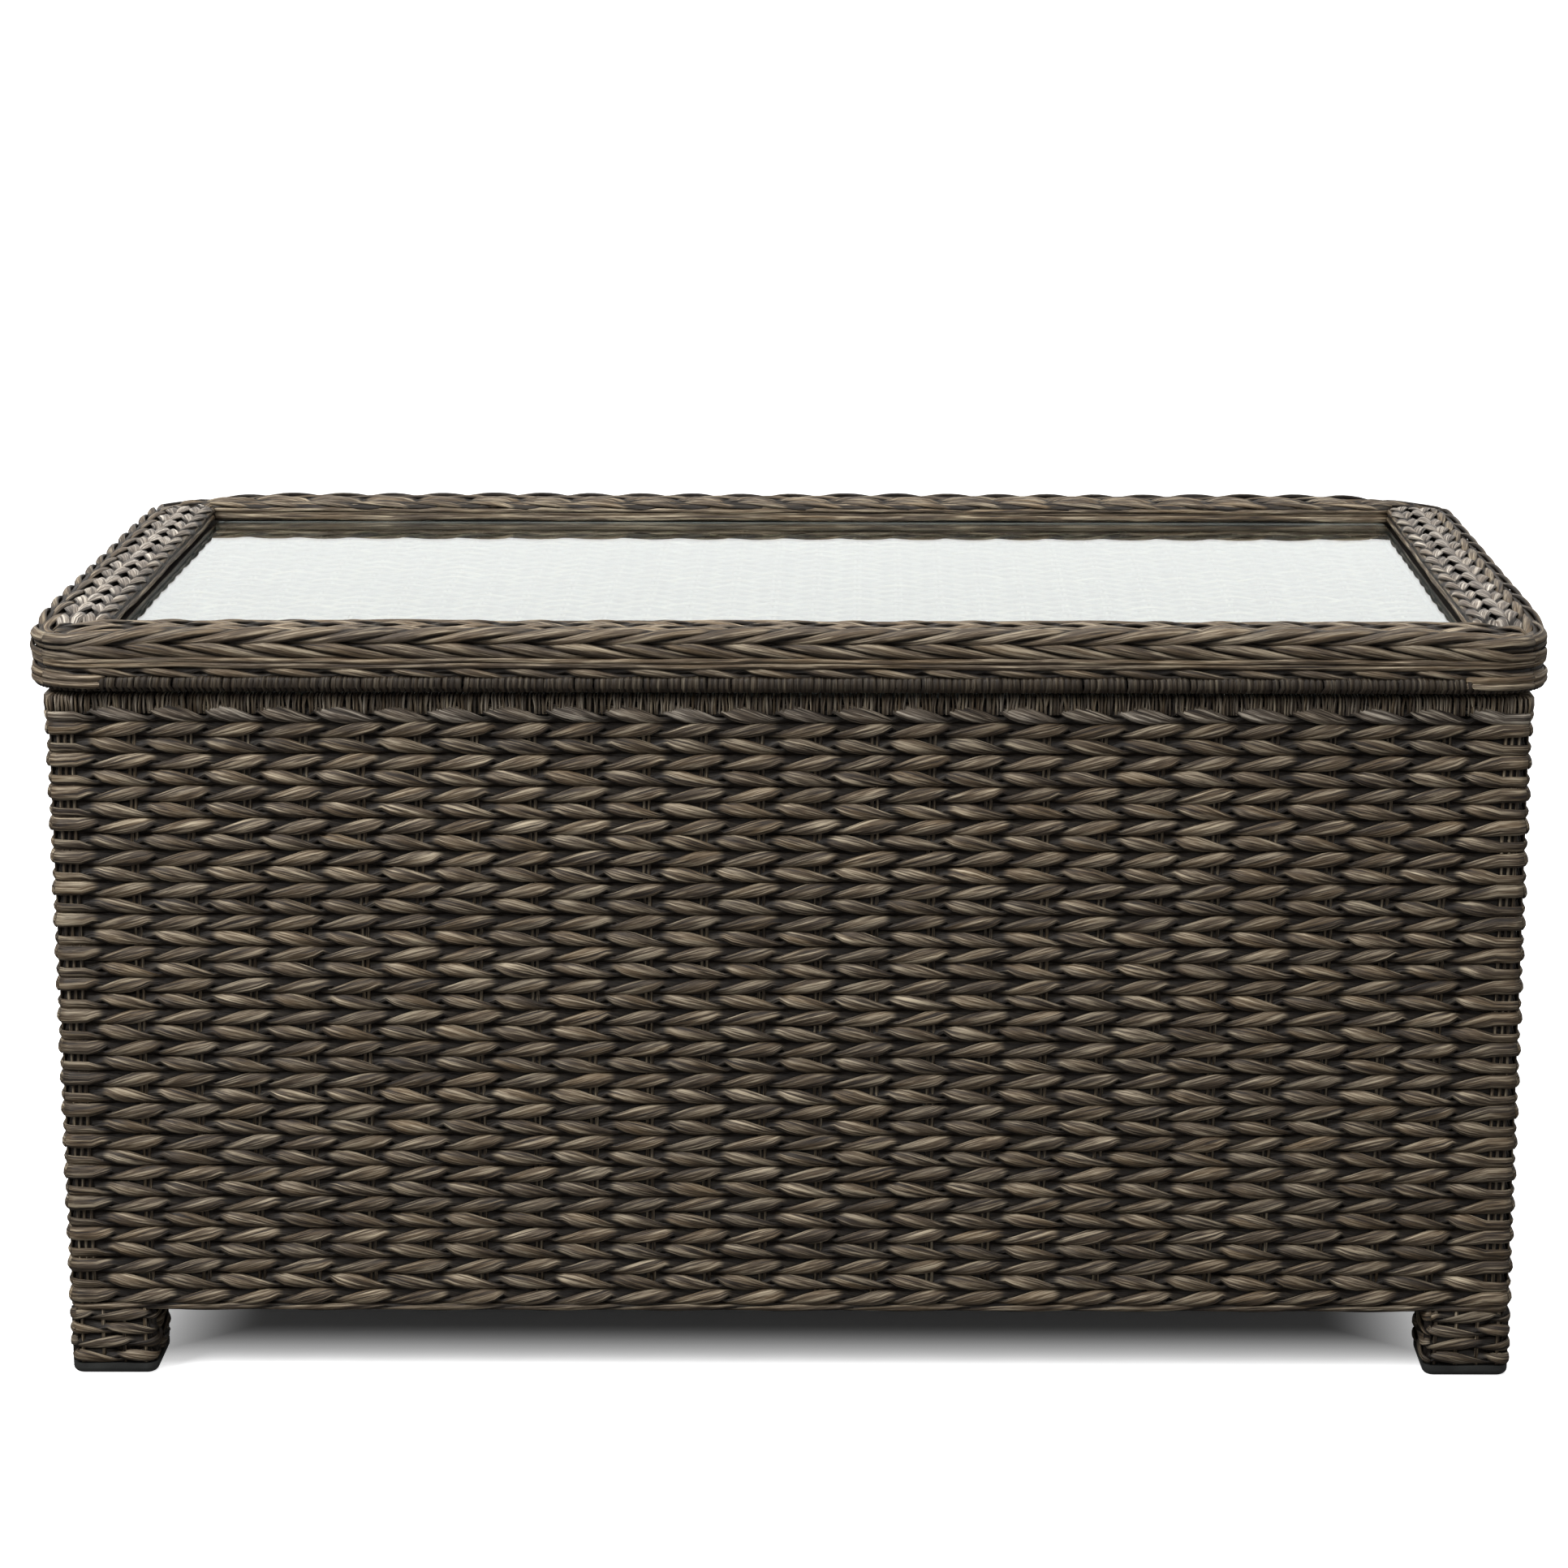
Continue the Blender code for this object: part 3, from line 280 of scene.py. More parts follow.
class Strands:
    """Strands of one woven piece, gathered and then written as one mesh."""

    def __init__(self, seed):
        self.random = np.random.default_rng(seed)
        self.points = []
        self.faces = []
        self.corners = []
        self.tones = []
        self.painted_shade = []
        self.count = 0

    def sweep(self, paths, normals, widths, thicknesses, sides=6, tones=None, shades=0.0, shade_falloff=1.5):
        """Sweep flattened strands along paths of one length. Widths and thicknesses are full sizes.

        Painted shade lies on a strand's flanks and back, further round with a lower shade_falloff, and where
        shades says that it is deep in the weave.
        """
        paths = np.asarray(paths, float)
        number, length, _ = paths.shape
        widths = np.broadcast_to(np.asarray(widths, float), (number, length))
        thicknesses = np.broadcast_to(np.asarray(thicknesses, float), (number, length))
        tangents = np.gradient(paths, axis=1)
        tangents /= np.linalg.norm(tangents, axis=2, keepdims=True)
        normals = np.broadcast_to(np.asarray(normals, float), paths.shape)
        normals = normals - (normals * tangents).sum(2, keepdims=True) * tangents
        normals = normals / np.linalg.norm(normals, axis=2, keepdims=True)
        across = np.cross(tangents, normals)
        # The section is round on its outer side, where most of its points are, and flatter behind
        share = (np.arange(sides) + 0.5) / sides * 2 - 1
        angles = math.pi * (0.72 * share + 0.28 * share ** 3) + math.pi
        angles = np.sort((angles + math.pi) % (2 * math.pi))
        deep = np.where(np.cos(angles) < 0, 0.7, 1.0) * np.cos(angles)
        ring = normals[:, :, None] * (thicknesses[..., None] / 2 * deep)[..., None]
        ring = ring + across[:, :, None] * (widths[..., None] / 2 * np.sin(angles))[..., None]
        points = paths[:, :, None] + ring
        steps = np.linalg.norm(np.diff(paths, axis=1), axis=2)
        along = np.concatenate([np.zeros((number, 1)), np.cumsum(steps, axis=1)], axis=1)
        along = along + self.random.uniform(0.0, 4.0, (number, 1))
        girth = 2.2 * widths.mean()
        if tones is None:
            tones = self.random.uniform(0.0, 1.0, number)
        index = self.count + np.arange(number * length * sides).reshape(number, length, sides)
        after = np.roll(index, -1, axis=2)
        quads = np.stack([index[:, :-1], after[:, :-1], after[:, 1:], index[:, 1:]], axis=-1)
        u = np.broadcast_to(along[:, :, None], index.shape)
        v = np.broadcast_to(angles * girth / (2 * math.pi), index.shape)
        w = np.concatenate([v[..., 1:], v[..., :1] + girth], axis=2)
        uvs = np.stack([
            np.stack([u[:, :-1], v[:, :-1]], -1), np.stack([u[:, :-1], w[:, :-1]], -1),
            np.stack([u[:, 1:], w[:, 1:]], -1), np.stack([u[:, 1:], v[:, 1:]], -1)], axis=3)
        shades = np.broadcast_to(np.asarray(shades, float), (number, length))
        # Painted shade: the given shades plus a darkening round the flanks and back of the section
        painted_shade = shades[..., None] + (0.5 - 0.5 * np.cos(angles)) ** shade_falloff
        self.painted_shade.append(np.clip(painted_shade, 0.0, 1.0).reshape(-1))
        self.points.append(points.reshape(-1, 3))
        self.tones.append(np.repeat(tones, length * sides))
        self.faces.append(quads.reshape(-1, 4))
        self.corners.append(uvs.reshape(-1, 2))
        for end, order in ((0, slice(None, None, -1)), (length - 1, slice(None))):
            self.faces.append(index[:, end, order])
            ends = np.stack([u[:, end], v[:, end]], -1)[:, order]
            self.corners.append(ends.reshape(-1, 2))
        self.count += number * length * sides

    def build(self, name, material):
        """Write the strands as one object at the origin, with their UV map and tones."""
        mesh = bpy.data.meshes.new(name)
        points = np.concatenate(self.points)
        loops = np.concatenate([f.reshape(-1) for f in self.faces])
        totals = np.concatenate([np.full(len(f), f.shape[1]) for f in self.faces])
        starts = np.concatenate([[0], np.cumsum(totals)[:-1]])
        mesh.vertices.add(len(points))
        mesh.vertices.foreach_set("co", points.astype(np.float32).ravel())
        mesh.loops.add(len(loops))
        mesh.loops.foreach_set("vertex_index", loops.astype(np.int32))
        mesh.polygons.add(len(totals))
        mesh.polygons.foreach_set("loop_start", starts.astype(np.int32))
        mesh.polygons.foreach_set("use_smooth", np.ones(len(totals), bool))
        layer = mesh.uv_layers.new(name="strand")
        layer.data.foreach_set("uv", np.concatenate(self.corners).astype(np.float32).ravel())
        # The second attribute holds how much painted shade darkens each point
        for label, values in (("tone", self.tones), ("painted_shade", self.painted_shade)):
            attribute = mesh.attributes.new(label, "FLOAT", "POINT")
            attribute.data.foreach_set("value", np.concatenate(values).astype(np.float32))
        mesh.update(calc_edges=True)
        mesh.validate()
        mesh.materials.append(material)
        piece = bpy.data.objects.new(name, mesh)
        bpy.context.scene.collection.objects.link(piece)
        return piece

    def wobble(self, number, along, length, size):
        """A slow random wave along each of several strands."""
        total = np.zeros((number, len(along)))
        for part in (1.0, 0.53, 0.29):
            phase = self.random.uniform(0.0, 2 * math.pi, (number, 1))
            stretch = self.random.uniform(0.8, 1.25, (number, 1))
            total += part * np.sin(2 * math.pi * along[None] / (length * part * stretch) + phase)
        return total * size / 1.9


def turned(points, side):
    """Turn points or directions from the front of the chest to another of its sides."""
    c, s = ((1, 0), (0, 1), (-1, 0), (0, -1))[SIDES.index(side)]
    x, y = points[..., 0] * c - points[..., 1] * s, points[..., 0] * s + points[..., 1] * c
    return np.stack([x, y, points[..., 2]], axis=-1)


def side_course(half_x, half_y, radius, side, step):
    """Points and outward directions along one side of a rounded rectangle, from corner to corner.

    Both ends are in the middle of a rounded corner. Also gives the length along the side.
    """
    if side in ENDS:
        half_x, half_y = half_y, half_x
    straight = half_x - radius
    end = straight + radius * QUARTER / 2
    count = max(2, int(math.ceil(2 * end / step))) + 1
    along = np.linspace(-end, end, count)
    turn = np.sign(along) * np.clip((np.abs(along) - straight) / max(radius, 1e-9), 0.0, QUARTER / 2)
    outward = np.stack([np.sin(turn), -np.cos(turn), np.zeros_like(turn)], axis=-1)
    middle = np.stack([np.clip(along, -straight, straight), np.full_like(along, radius - half_y),
                       np.zeros_like(along)], axis=-1)
    return along, turned(middle + outward * radius, side), turned(outward, side)


def twined(bundle, centre, outward, upward, phase, hand, swing, lift, width, thickness, strands=2,
           tones=None, shade_falloff=1.5):
    """Two or three strands twisted round each other along a course, in front of it and behind it by turns.

    The phase gains half a turn with each leaf. Hand is 1 where a front strand rises with the phase and -1
    where it falls. A strand comes to the front blunt and wide at its high end, and goes behind in a thin
    tail at its low end, darkened with painted shade. Behind, it is spread wide, lies flat and is darkened
    with painted shade.
    """
    lean, sides = 0.45, 7
    paths, faces, widths, shades = [], [], [], []
    for number in range(strands):
        angle = (phase + number * math.pi) * 2 / strands
        rise = hand * np.sin(angle)
        front = np.cos(angle - hand * 0.30 * np.cos(angle)) + 0.3 * (strands - 2)
        depth = np.where(front < 0, 0.65, 1.0) * front
        paths.append(centre + outward * (swing * depth)[..., None] + upward * (lift * rise)[..., None])
        faces.append(outward * (np.abs(front) + 0.16)[..., None] + upward * (lean * rise)[..., None])
        broad = 0.68 + 0.32 * np.abs(front) + np.where(front < 0, -0.42 * front, 0.10 * rise)
        widths.append(width * broad)
        # Painted shade: darker where a strand turns into its tail and runs behind
        shades.append(np.clip(0.45 - 0.95 * front, 0.0, 0.9))
    paths = np.stack(paths).reshape(-1, centre.shape[-2], 3)
    faces = np.stack(faces).reshape(paths.shape)
    widths, shades = (np.stack(each).reshape(paths.shape[:2]) for each in (widths, shades))
    if tones is not None:
        tones = bundle.random.uniform(*tones, len(paths))
    bundle.sweep(paths, faces, widths, thickness, sides, tones, shades, shade_falloff)


def lid_radius(inset):
    """Corner radius of a course that is set in from the lid's edge."""
    return max(LID_RADIUS - inset, 0.002)


def resting_phase(along, leaves, zone):
    """The twist's phase along a side. It nearly rests in a zone at each corner, and turns evenly between."""
    end = along[-1]
    rest = math.radians(7.0)
    knots = (-end, zone - end, end - zone, end)
    angles = (CORNER_PHASE, CORNER_PHASE + rest,
              CORNER_PHASE + leaves * math.pi - rest, CORNER_PHASE + leaves * math.pi)
    return np.interp(along, knots, angles)


class TABLE_OT_walls(bpy.types.Operator):
    """Weave the four walls from twined rows on pairs of stakes"""

    bl_idname = "table.walls"
    bl_label = "Walls"

    def execute(self, context):
        weave = context.scene.table_weave
        wicker = bpy.data.materials["weathered_resin_wicker"]
        depth = weave.swing + weave.strand_thickness / 2
        proud, points_per_leaf = 0.0008, 6.4
        for number, side in enumerate(SIDES):
            bundle = Strands(100 + number)
            half, leaves = (BOX_Y, weave.short_leaves) if side in ENDS else (BOX_X, weave.long_leaves)
            step = 2 * half / (leaves * points_per_leaf)
            along, places, outward = side_course(BOX_X, BOX_Y, WALL_RADIUS, side, step)
            axis = places - outward * (depth - proud)
            phase = resting_phase(along, leaves, CORNER_ZONE)
            for row in range(weave.rows):
                hand = 1 if row % 2 else -1
                z = WALL_TOP - weave.first_row_drop - row * weave.row_pitch
                slip = bundle.wobble(1, along, 0.42, math.radians(16.0))[0]
                slip = slip + bundle.random.normal(0.0, math.radians(7.0))
                fade = np.clip((along[-1] - np.abs(along)) / 0.04, 0.0, 1.0)
                sway = bundle.wobble(1, along, 0.23, 0.0007)[0]
                centre = axis + UP * (z + sway[:, None])
                fat = 1.0 + bundle.wobble(1, along, 0.09, 0.10)[0]
                # The top row is bolder and paler, and lies over the ends of the rim's wraps
                bold, forward = (1.0, 0.0) if row else (1.3, 0.0010)
                centre = centre + outward * forward
                twined(bundle, centre, outward, UP, phase + slip * fade, hand, weave.swing,
                       weave.lift * bold, weave.strand_width * fat * math.sqrt(bold), weave.strand_thickness,
                       tones=(0.0, 1.0) if row else (1.3, 1.9))
            stakes = np.interp(CORNER_PHASE + math.pi * np.arange(1, leaves), phase, along)
            crossings = np.interp(QUARTER + math.pi * np.arange(leaves), phase, along)
            self.add_stakes(bundle, stakes, crossings, along, axis, outward)
            self.add_hem(bundle, along, axis, outward)
            piece = bundle.build(f"woven_wall_{side}", wicker)
            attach(piece, "chest")
            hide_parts(f"wall_{side}")
        return {"FINISHED"}

    def add_stakes(self, bundle, stakes, crossings, along, axis, outward):
        """Pairs of thin upright stakes, three at each end, and a flat stake behind where strands cross."""
        thin, broad, flat = 0.0027, 0.0180, 0.0014
        apart, corner_forward, behind, clear = 0.0019, 0.0016, 0.0034, 0.001
        pairs = [(s + shift, 0.0) for s in stakes for shift in (-apart, apart)]
        for end in (-1, 1):
            pairs += [(end * (along[-1] - inset), corner_forward) for inset in (0.0075, 0.0125, 0.0175)]
        backs = [(s, -behind) for s in crossings]
        heights = np.linspace(WALL_BOTTOM + clear, WALL_TOP - clear, 12)
        # The flat stakes behind are darkened with painted shade, so that the gaps in the weave look shaded
        for places, width, thickness, shade in ((pairs, thin, thin, 0.0), (backs, broad, flat, 0.8)):
            paths, faces = [], []
            for place, forward in places:
                foot = np.array([np.interp(place, along, axis[:, i]) for i in range(3)])
                face = np.array([np.interp(place, along, outward[:, i]) for i in range(3)])
                lean = np.cross(UP, face)
                wander = bundle.wobble(1, heights, 0.2, 0.0006)[0]
                paths.append(foot + face * forward + lean * wander[:, None] + UP * heights[:, None])
                faces.append(np.broadcast_to(face, (len(heights), 3)))
            bundle.sweep(np.array(paths), np.array(faces), width, thickness, 6,
                         bundle.random.uniform(-0.3, 0.5, len(paths)), shade)

    def add_hem(self, bundle, along, axis, outward):
        """Two loosely twisted strands along the bottom edge, under the last row."""
        pitch, forward, height = 0.085, 0.0012, WALL_BOTTOM + 0.0014
        phase = math.pi * along / pitch
        centre = axis + outward * forward + UP * height
        twined(bundle, centre, outward, UP, phase, 1, swing=0.0014, lift=0.0007, width=0.0052,
               thickness=0.0036)


class TABLE_OT_rim_wrap(bpy.types.Operator):
    """Wind a fine strand over the rim of the chest"""

    bl_idname = "table.rim_wrap"
    bl_label = "Rim wrap"

    def execute(self, context):
        weave = context.scene.table_weave
        bundle = Strands(200)
        skin = 0.0012
        inner = BOX_X - POST_INNER_X
        profile = ((-0.0014, WALL_TOP - 0.0100), (-0.0004, WALL_TOP - 0.0040), (-0.0006, RIM_TOP - 0.0018),
                   (-0.0035, RIM_TOP - skin * 0.9), (-inner / 2, RIM_TOP - skin * 0.8),
                   (0.004 - inner, RIM_TOP - skin * 0.9), (0.0012 - inner, RIM_TOP - 0.0026))
        for side in SIDES:
            along, places, out = side_course(BOX_X, BOX_Y, WALL_RADIUS, side, weave.wrap_pitch)
            across = np.cross(UP, out)
            paths = np.stack([places + out * o + UP * z for o, z in profile], axis=1)
            paths += (across * bundle.random.normal(0.0, 0.0003, (len(along), 1)))[:, None]
            paths[:, :2] += (across * bundle.random.normal(0.0, 0.0005, (len(along), 1)))[:, None]
            faces = np.cross(across[:, None], np.gradient(paths, axis=1))
            widths = weave.wrap_pitch * bundle.random.uniform(0.85, 1.02, (len(along), 1))
            bundle.sweep(paths, faces, widths, 2 * skin, 5, bundle.random.uniform(0.9, 1.8, len(along)))
        piece = bundle.build("wound_rim", bpy.data.materials["weathered_resin_wicker"])
        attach(piece, "chest")
        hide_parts("rim_wrap")
        return {"FINISHED"}


class TABLE_OT_legs(bpy.types.Operator):
    """Wind strands round the lower end of each post"""

    bl_idname = "table.legs"
    bl_label = "Leg sleeves"

    def execute(self, context):
        wicker = bpy.data.materials["weathered_resin_wicker"]
        for number, name in enumerate(CORNERS):
            bundle = Strands(300 + number)
            low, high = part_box(f"leg_sleeve_{name}")
            middle = np.array((low + high) / 2) * (1.0, 1.0, 0.0)
            half = (high.x - low.x) / 2
            self.wind(bundle, middle, half, low.z, high.z)
            piece = bundle.build(f"wound_leg_{name}", wicker)
            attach(piece, "chest")
            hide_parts(f"leg_sleeve_{name}")
        return {"FINISHED"}

    def wind(self, bundle, middle, half, low, high):
        """Twined rows round one leg, over thin stakes with flat ones behind."""
        radius = 0.009
        ring, faces = [], []
        for side in SIDES:
            along, places, outward = side_course(half, half, radius, side, 0.004)
            ring.append(places[:-1])
            faces.append(outward[:-1])
        ring = np.concatenate(ring + [ring[0][:2]])
        faces = np.concatenate(faces + [faces[0][:2]])
        run = np.concatenate([[0], np.cumsum(np.linalg.norm(np.diff(ring, axis=0), axis=1))])
        swing, lift, width, thick, proud = 0.0024, 0.0020, 0.0084, 0.0032, 0.0006
        axis = middle + ring - faces * (swing + thick / 2 - proud)
        rows, turns, count = 4, 6, 16
        pitch = (high - low) / rows
        for row in range(rows):
            z = low + (row + 0.5) * pitch
            phase = turns * math.pi * run / run[-1] + bundle.random.uniform(0.0, math.pi)
            sway = bundle.wobble(1, run, 0.11, 0.0009)[0]
            twined(bundle, axis + UP * (z + sway)[:, None], faces, UP, phase, 1 if row % 2 else -1,
                   swing, lift, width, thick, tones=(-0.1, 0.9))
        heights = np.linspace(low + 0.0005, high + 0.001, 4)
        stakes = [int(np.interp(s, run, np.arange(len(run))))
                  for s in np.arange(0.5, count) * run[-1] / count]
        normals = np.array([np.broadcast_to(faces[i], (len(heights), 3)) for i in stakes])
        # The flat stakes behind are darkened with painted shade, so that the gaps in the weave look shaded
        for broad, flat, inward, shade in ((0.0030, 0.0026, 0.0, 0.0), (0.0170, 0.0014, 0.0030, 0.8)):
            paths = [axis[i] - faces[i] * inward + UP * heights[:, None] for i in stakes]
            bundle.sweep(np.array(paths), normals, broad, flat, 6, None, shade)


class TABLE_OT_lid_border(bpy.types.Operator):
    """Weave the four braided borders of the lid from twined rows and straight strands"""

    bl_idname = "table.lid_border"
    bl_label = "Lid border"

    def execute(self, context):
        weave = context.scene.table_weave
        wicker = bpy.data.materials["worn_resin_wicker"]
        for number, side in enumerate(SIDES):
            bundle = Strands(400 + number)
            self.add_rows(bundle, weave, side)
            self.add_straights(bundle, side)
            self.add_wraps(bundle, weave, side)
            self.add_bindings(bundle, side)
            piece = bundle.build(f"woven_border_{side}", wicker)
            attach(piece, "lid")
            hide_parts(f"lid_border_{side}")
        return {"FINISHED"}

    def course(self, side, inset, step, height):
        """A course round the lid, set in from its edge, at a height that sinks at the corners on the top."""
        along, places, out = side_course(LID_X - inset, LID_Y - inset, lid_radius(inset), side, step)
        level = height - self.corner_drop(along[-1] - np.abs(along), inset, height)
        return along, places + UP * level[:, None], out

    def corner_drop(self, distance, inset, height):
        """How far a row has sunk at a distance from the corner, most on the top and at the outer edge."""
        start, span = 0.018, 0.022
        near = np.clip(1.0 - distance / SINK_REACH, 0.0, 1.0)
        high = min(max((height - LID_BOTTOM - start) / span, 0.0), 1.0)
        outer = max(1.0 - inset / BORDER_WIDTH, 0.0)
        return CORNER_SINK * high * outer * near ** 2 * (3.0 - 2.0 * near)

    def add_rows(self, bundle, weave, side):
        """Twined rows: inset, height, tilt, hand, strand width, swing, lift and number of strands.

        The outer rows run round the corners. The inner ones on the top stop against the next border, and
        lean the same way on the two ends as seen from the front. There the twist is tighter, and a fourth
        row lies along the inner edge.
        """
        flip = -1 if side == "right" else 1
        ends = side in ENDS
        # The low second value spreads the painted shade further round the lid's strands, for darker outlines
        thickness, shade_falloff = 0.0042, 0.88
        pitch = weave.border_pitch * (0.84 if ends else 1.0)
        rows = (
            (0.0045, LID_BOTTOM + 0.0118, 0.0, -1, 0.0060, 0.0022, 0.0021, 2),
            (0.0054, LID_BOTTOM + 0.0274, 0.0, -1, 0.0074, 0.0034, 0.0039, 3),
            (0.0062, LID_BOTTOM + 0.0372, 26.0, 1, 0.0074, 0.0034, 0.0036, 3),
            (0.0124, LID_TOP - 0.0062, 72.0, -1, 0.0074, 0.0034, 0.0034, 3),
        )
        if ends:
            rows += (
                (0.0206, LID_TOP - 0.0052, 90.0, flip, 0.0118, 0.0034, 0.0030, 2),
                (0.0300, LID_TOP - 0.0048, 90.0, -flip, 0.0118, 0.0034, 0.0030, 2),
                (0.0394, LID_TOP - 0.0046, 92.0, flip, 0.0108, 0.0032, 0.0030, 2),
                (0.0462, LID_TOP - 0.0044, 100.0, -flip, 0.0070, 0.0019, 0.0026, 2),
            )
        else:
            rows += (
                (0.0208, LID_TOP - 0.0052, 90.0, flip, 0.0104, 0.0038, 0.0030, 2),
                (0.0298, LID_TOP - 0.0048, 90.0, -flip, 0.0104, 0.0038, 0.0030, 2),
                (0.0388, LID_TOP - 0.0046, 92.0, flip, 0.0080, 0.0030, 0.0032, 2),
            )
        if side == "back":
            rows += ((0.0468, LID_TOP - 0.0030, 110.0, -flip, 0.0050, 0.0014, 0.0021, 2),)
        for inset, height, tilt, hand, width, swing, lift, strands in rows:
            step = weave.border_pitch / 7
            if inset < OUTER_ROWS or (inset > LID_RADIUS and not ends):
                along, places, out = self.course(side, inset, step, height)
                zone = 0.6 * lid_radius(inset) * QUARTER / 2
                leaves = strands * round(2 * (along[-1] - zone) / weave.border_pitch / strands)
                phase = resting_phase(along, leaves, zone)
            else:
                along, places, out = self.straight(side, inset, step, height)
                phase = math.pi * along / pitch + 0.4
            c, s = math.cos(math.radians(tilt)), math.sin(math.radians(tilt))
            face = out * c + UP * s
            rise = UP * c - out * s
            slip = bundle.wobble(1, along, 0.5, math.radians(18.0))[0]
            fade = np.clip((along[-1] - np.abs(along)) / 0.08, 0.0, 1.0)
            sway = bundle.wobble(1, along, 0.25, 0.0006)[0] * fade
            centre = places + rise * sway[:, None]
            fat = 1.0 + bundle.wobble(1, along, 0.1, 0.10)[0] * fade
            # Rows that run round the corners keep one tone. The tops of the two ends get paler tones:
            # painted light, for the bright light falling on them
            tones = (0.3, 0.7) if inset < OUTER_ROWS else (0.0, 1.0)
            if tilt > 80.0 and ends:
                tones = (2.0, 3.0) if tilt < 95.0 else (1.6, 2.3)
            twined(bundle, centre, face, rise, phase + slip * fade, hand, swing, lift, width * fat,
                   thickness, strands, tones, shade_falloff)

    def straight(self, side, inset, step, height):
        """A straight course along one border's top, with both ends tucked down."""
        half_x, half_y, short = (LID_Y, LID_X, BORDER_WIDTH) if side in ENDS else (LID_X, LID_Y, 0.016)
        tuck_length, tuck_depth = 0.010, 0.007
        end = half_x - short
        along = np.linspace(-end, end, int(2 * end / step) + 1)
        tuck = np.clip((np.abs(along) - end + tuck_length) / tuck_length, 0.0, 1.0) ** 2 * tuck_depth
        level = height - tuck - self.corner_drop(half_x - np.abs(along), inset, height)
        places = np.stack([along, np.full_like(along, inset - half_y), level], axis=-1)
        out = np.broadcast_to(np.array((0.0, -1.0, 0.0)), places.shape)
        return along, turned(places, side), turned(out, side)

    def add_straights(self, bundle, side):
        """Straight strands: inset, height, tilt, width, thickness and depth of grime.

        Two are on the outer side, four go down to the glass and three are a core under the outer edge,
        darkened with painted shade. The four by the glass get painted shade on the two ends, where the top
        one lies under a twined row.
        """
        dark, under = (0.9, 0.0070) if side in ENDS else (0.0, 0.0034)
        straights = (
            (0.0022, LID_BOTTOM + 0.0173, 0.0, 0.0046, 0.0036, 0.0),
            (0.0020, LID_BOTTOM + 0.0209, 0.0, 0.0044, 0.0036, 0.0),
            (0.0462, LID_TOP - under, 100.0, 0.0056, 0.0042, dark),
            (0.0492, LID_TOP - 0.0064, 150.0, 0.0046, 0.0036, dark / 3),
            (0.0484, LID_TOP - 0.0092, 165.0, 0.0060, 0.0040, max(dark, 0.3)),
            (0.0496, GLASS_TOP + 0.0030, 180.0, 0.0056, 0.0030, dark / 6),
            # The core: strands darkened with painted shade so that they look like a shadowed gap
            (0.0098, LID_TOP - 0.0085, 45.0, 0.0140, 0.0060, 0.6),
            (0.0072, LID_TOP - 0.0044, 45.0, 0.0096, 0.0044, 0.6),
            (0.0086, LID_BOTTOM + 0.0322, 8.0, 0.0110, 0.0044, 0.6),
        )
        for inset, height, tilt, width, thickness, shade in straights:
            along, places, out = self.course(side, inset, 0.010, height)
            c, s = math.cos(math.radians(tilt)), math.sin(math.radians(tilt))
            sway = bundle.wobble(1, along, 0.22, 0.0009)[0]
            path = places + UP * sway[:, None]
            fat = 1.0 + bundle.wobble(1, along, 0.13, 0.10)[0]
            bundle.sweep(path[None], (out * c + UP * s)[None], (width * fat)[None], thickness, 7,
                         bundle.random.uniform(0.7, 0.9, 1), shade)

    def add_wraps(self, bundle, weave, side):
        """Fine wraps round the lower edge and across the underside to the panel."""
        skin = 0.0013
        profile = ((0.0040, 0.0092), (0.0022, 0.0070), (0.0014, 0.0024), (0.0028, -0.0006), (0.0170, skin),
                   (0.0320, skin), (0.0338, 0.0034), (0.0340, 0.0094))
        along, places, out = self.course(side, 0.020, 1.8 * weave.wrap_pitch, 0.0)
        share = (along - along[0]) / (along[-1] - along[0])
        paths = []
        for inset, height in profile:
            run, spots, _ = self.course(side, inset, 0.004, LID_BOTTOM + height)
            at = run[0] + share * (run[-1] - run[0])
            paths.append(np.stack([np.interp(at, run, spots[:, i]) for i in range(3)], axis=-1))
        paths = np.stack(paths, axis=1)
        across = np.cross(UP, out)
        paths[:, :3] += (across * bundle.random.normal(0.0, 0.0006, (len(along), 1)))[:, None]
        faces = np.cross(np.gradient(paths, axis=1), across[:, None])
        widths = weave.wrap_pitch * bundle.random.uniform(2.2, 3.0, (len(along), 1))
        # The wraps under the lid's lower edge are darkened with painted shade
        bundle.sweep(paths, faces, widths, 2 * skin, 5, bundle.random.uniform(-0.3, 0.2, len(along)), 0.46)

    def add_bindings(self, bundle, side):
        """Two tan strands round each corner, over the wraps, with their ends tucked in."""
        inset, step, tuck_depth, tuck_start = 0.0012, 0.004, 0.0036, 0.7
        for height in (0.0034, 0.0080):
            along, places, out = self.course(side, inset, step, LID_BOTTOM + height)
            for end in (-1, 1):
                length = bundle.random.uniform(0.042, 0.058)
                near = end * along > along[-1] - length
                free = (along[-1] - np.abs(along[near])) / length
                sink = tuck_depth * np.clip((free - tuck_start) / (1.0 - tuck_start), 0.0, 1.0) ** 2
                sway = bundle.wobble(1, along[near], 0.06, 0.0005)[0]
                path = places[near] - out[near] * sink[:, None] + UP * sway[:, None]
                bundle.sweep(path[None], out[near][None], 0.0054, 0.0036, 7,
                             bundle.random.uniform(1.0, 1.2, 1))


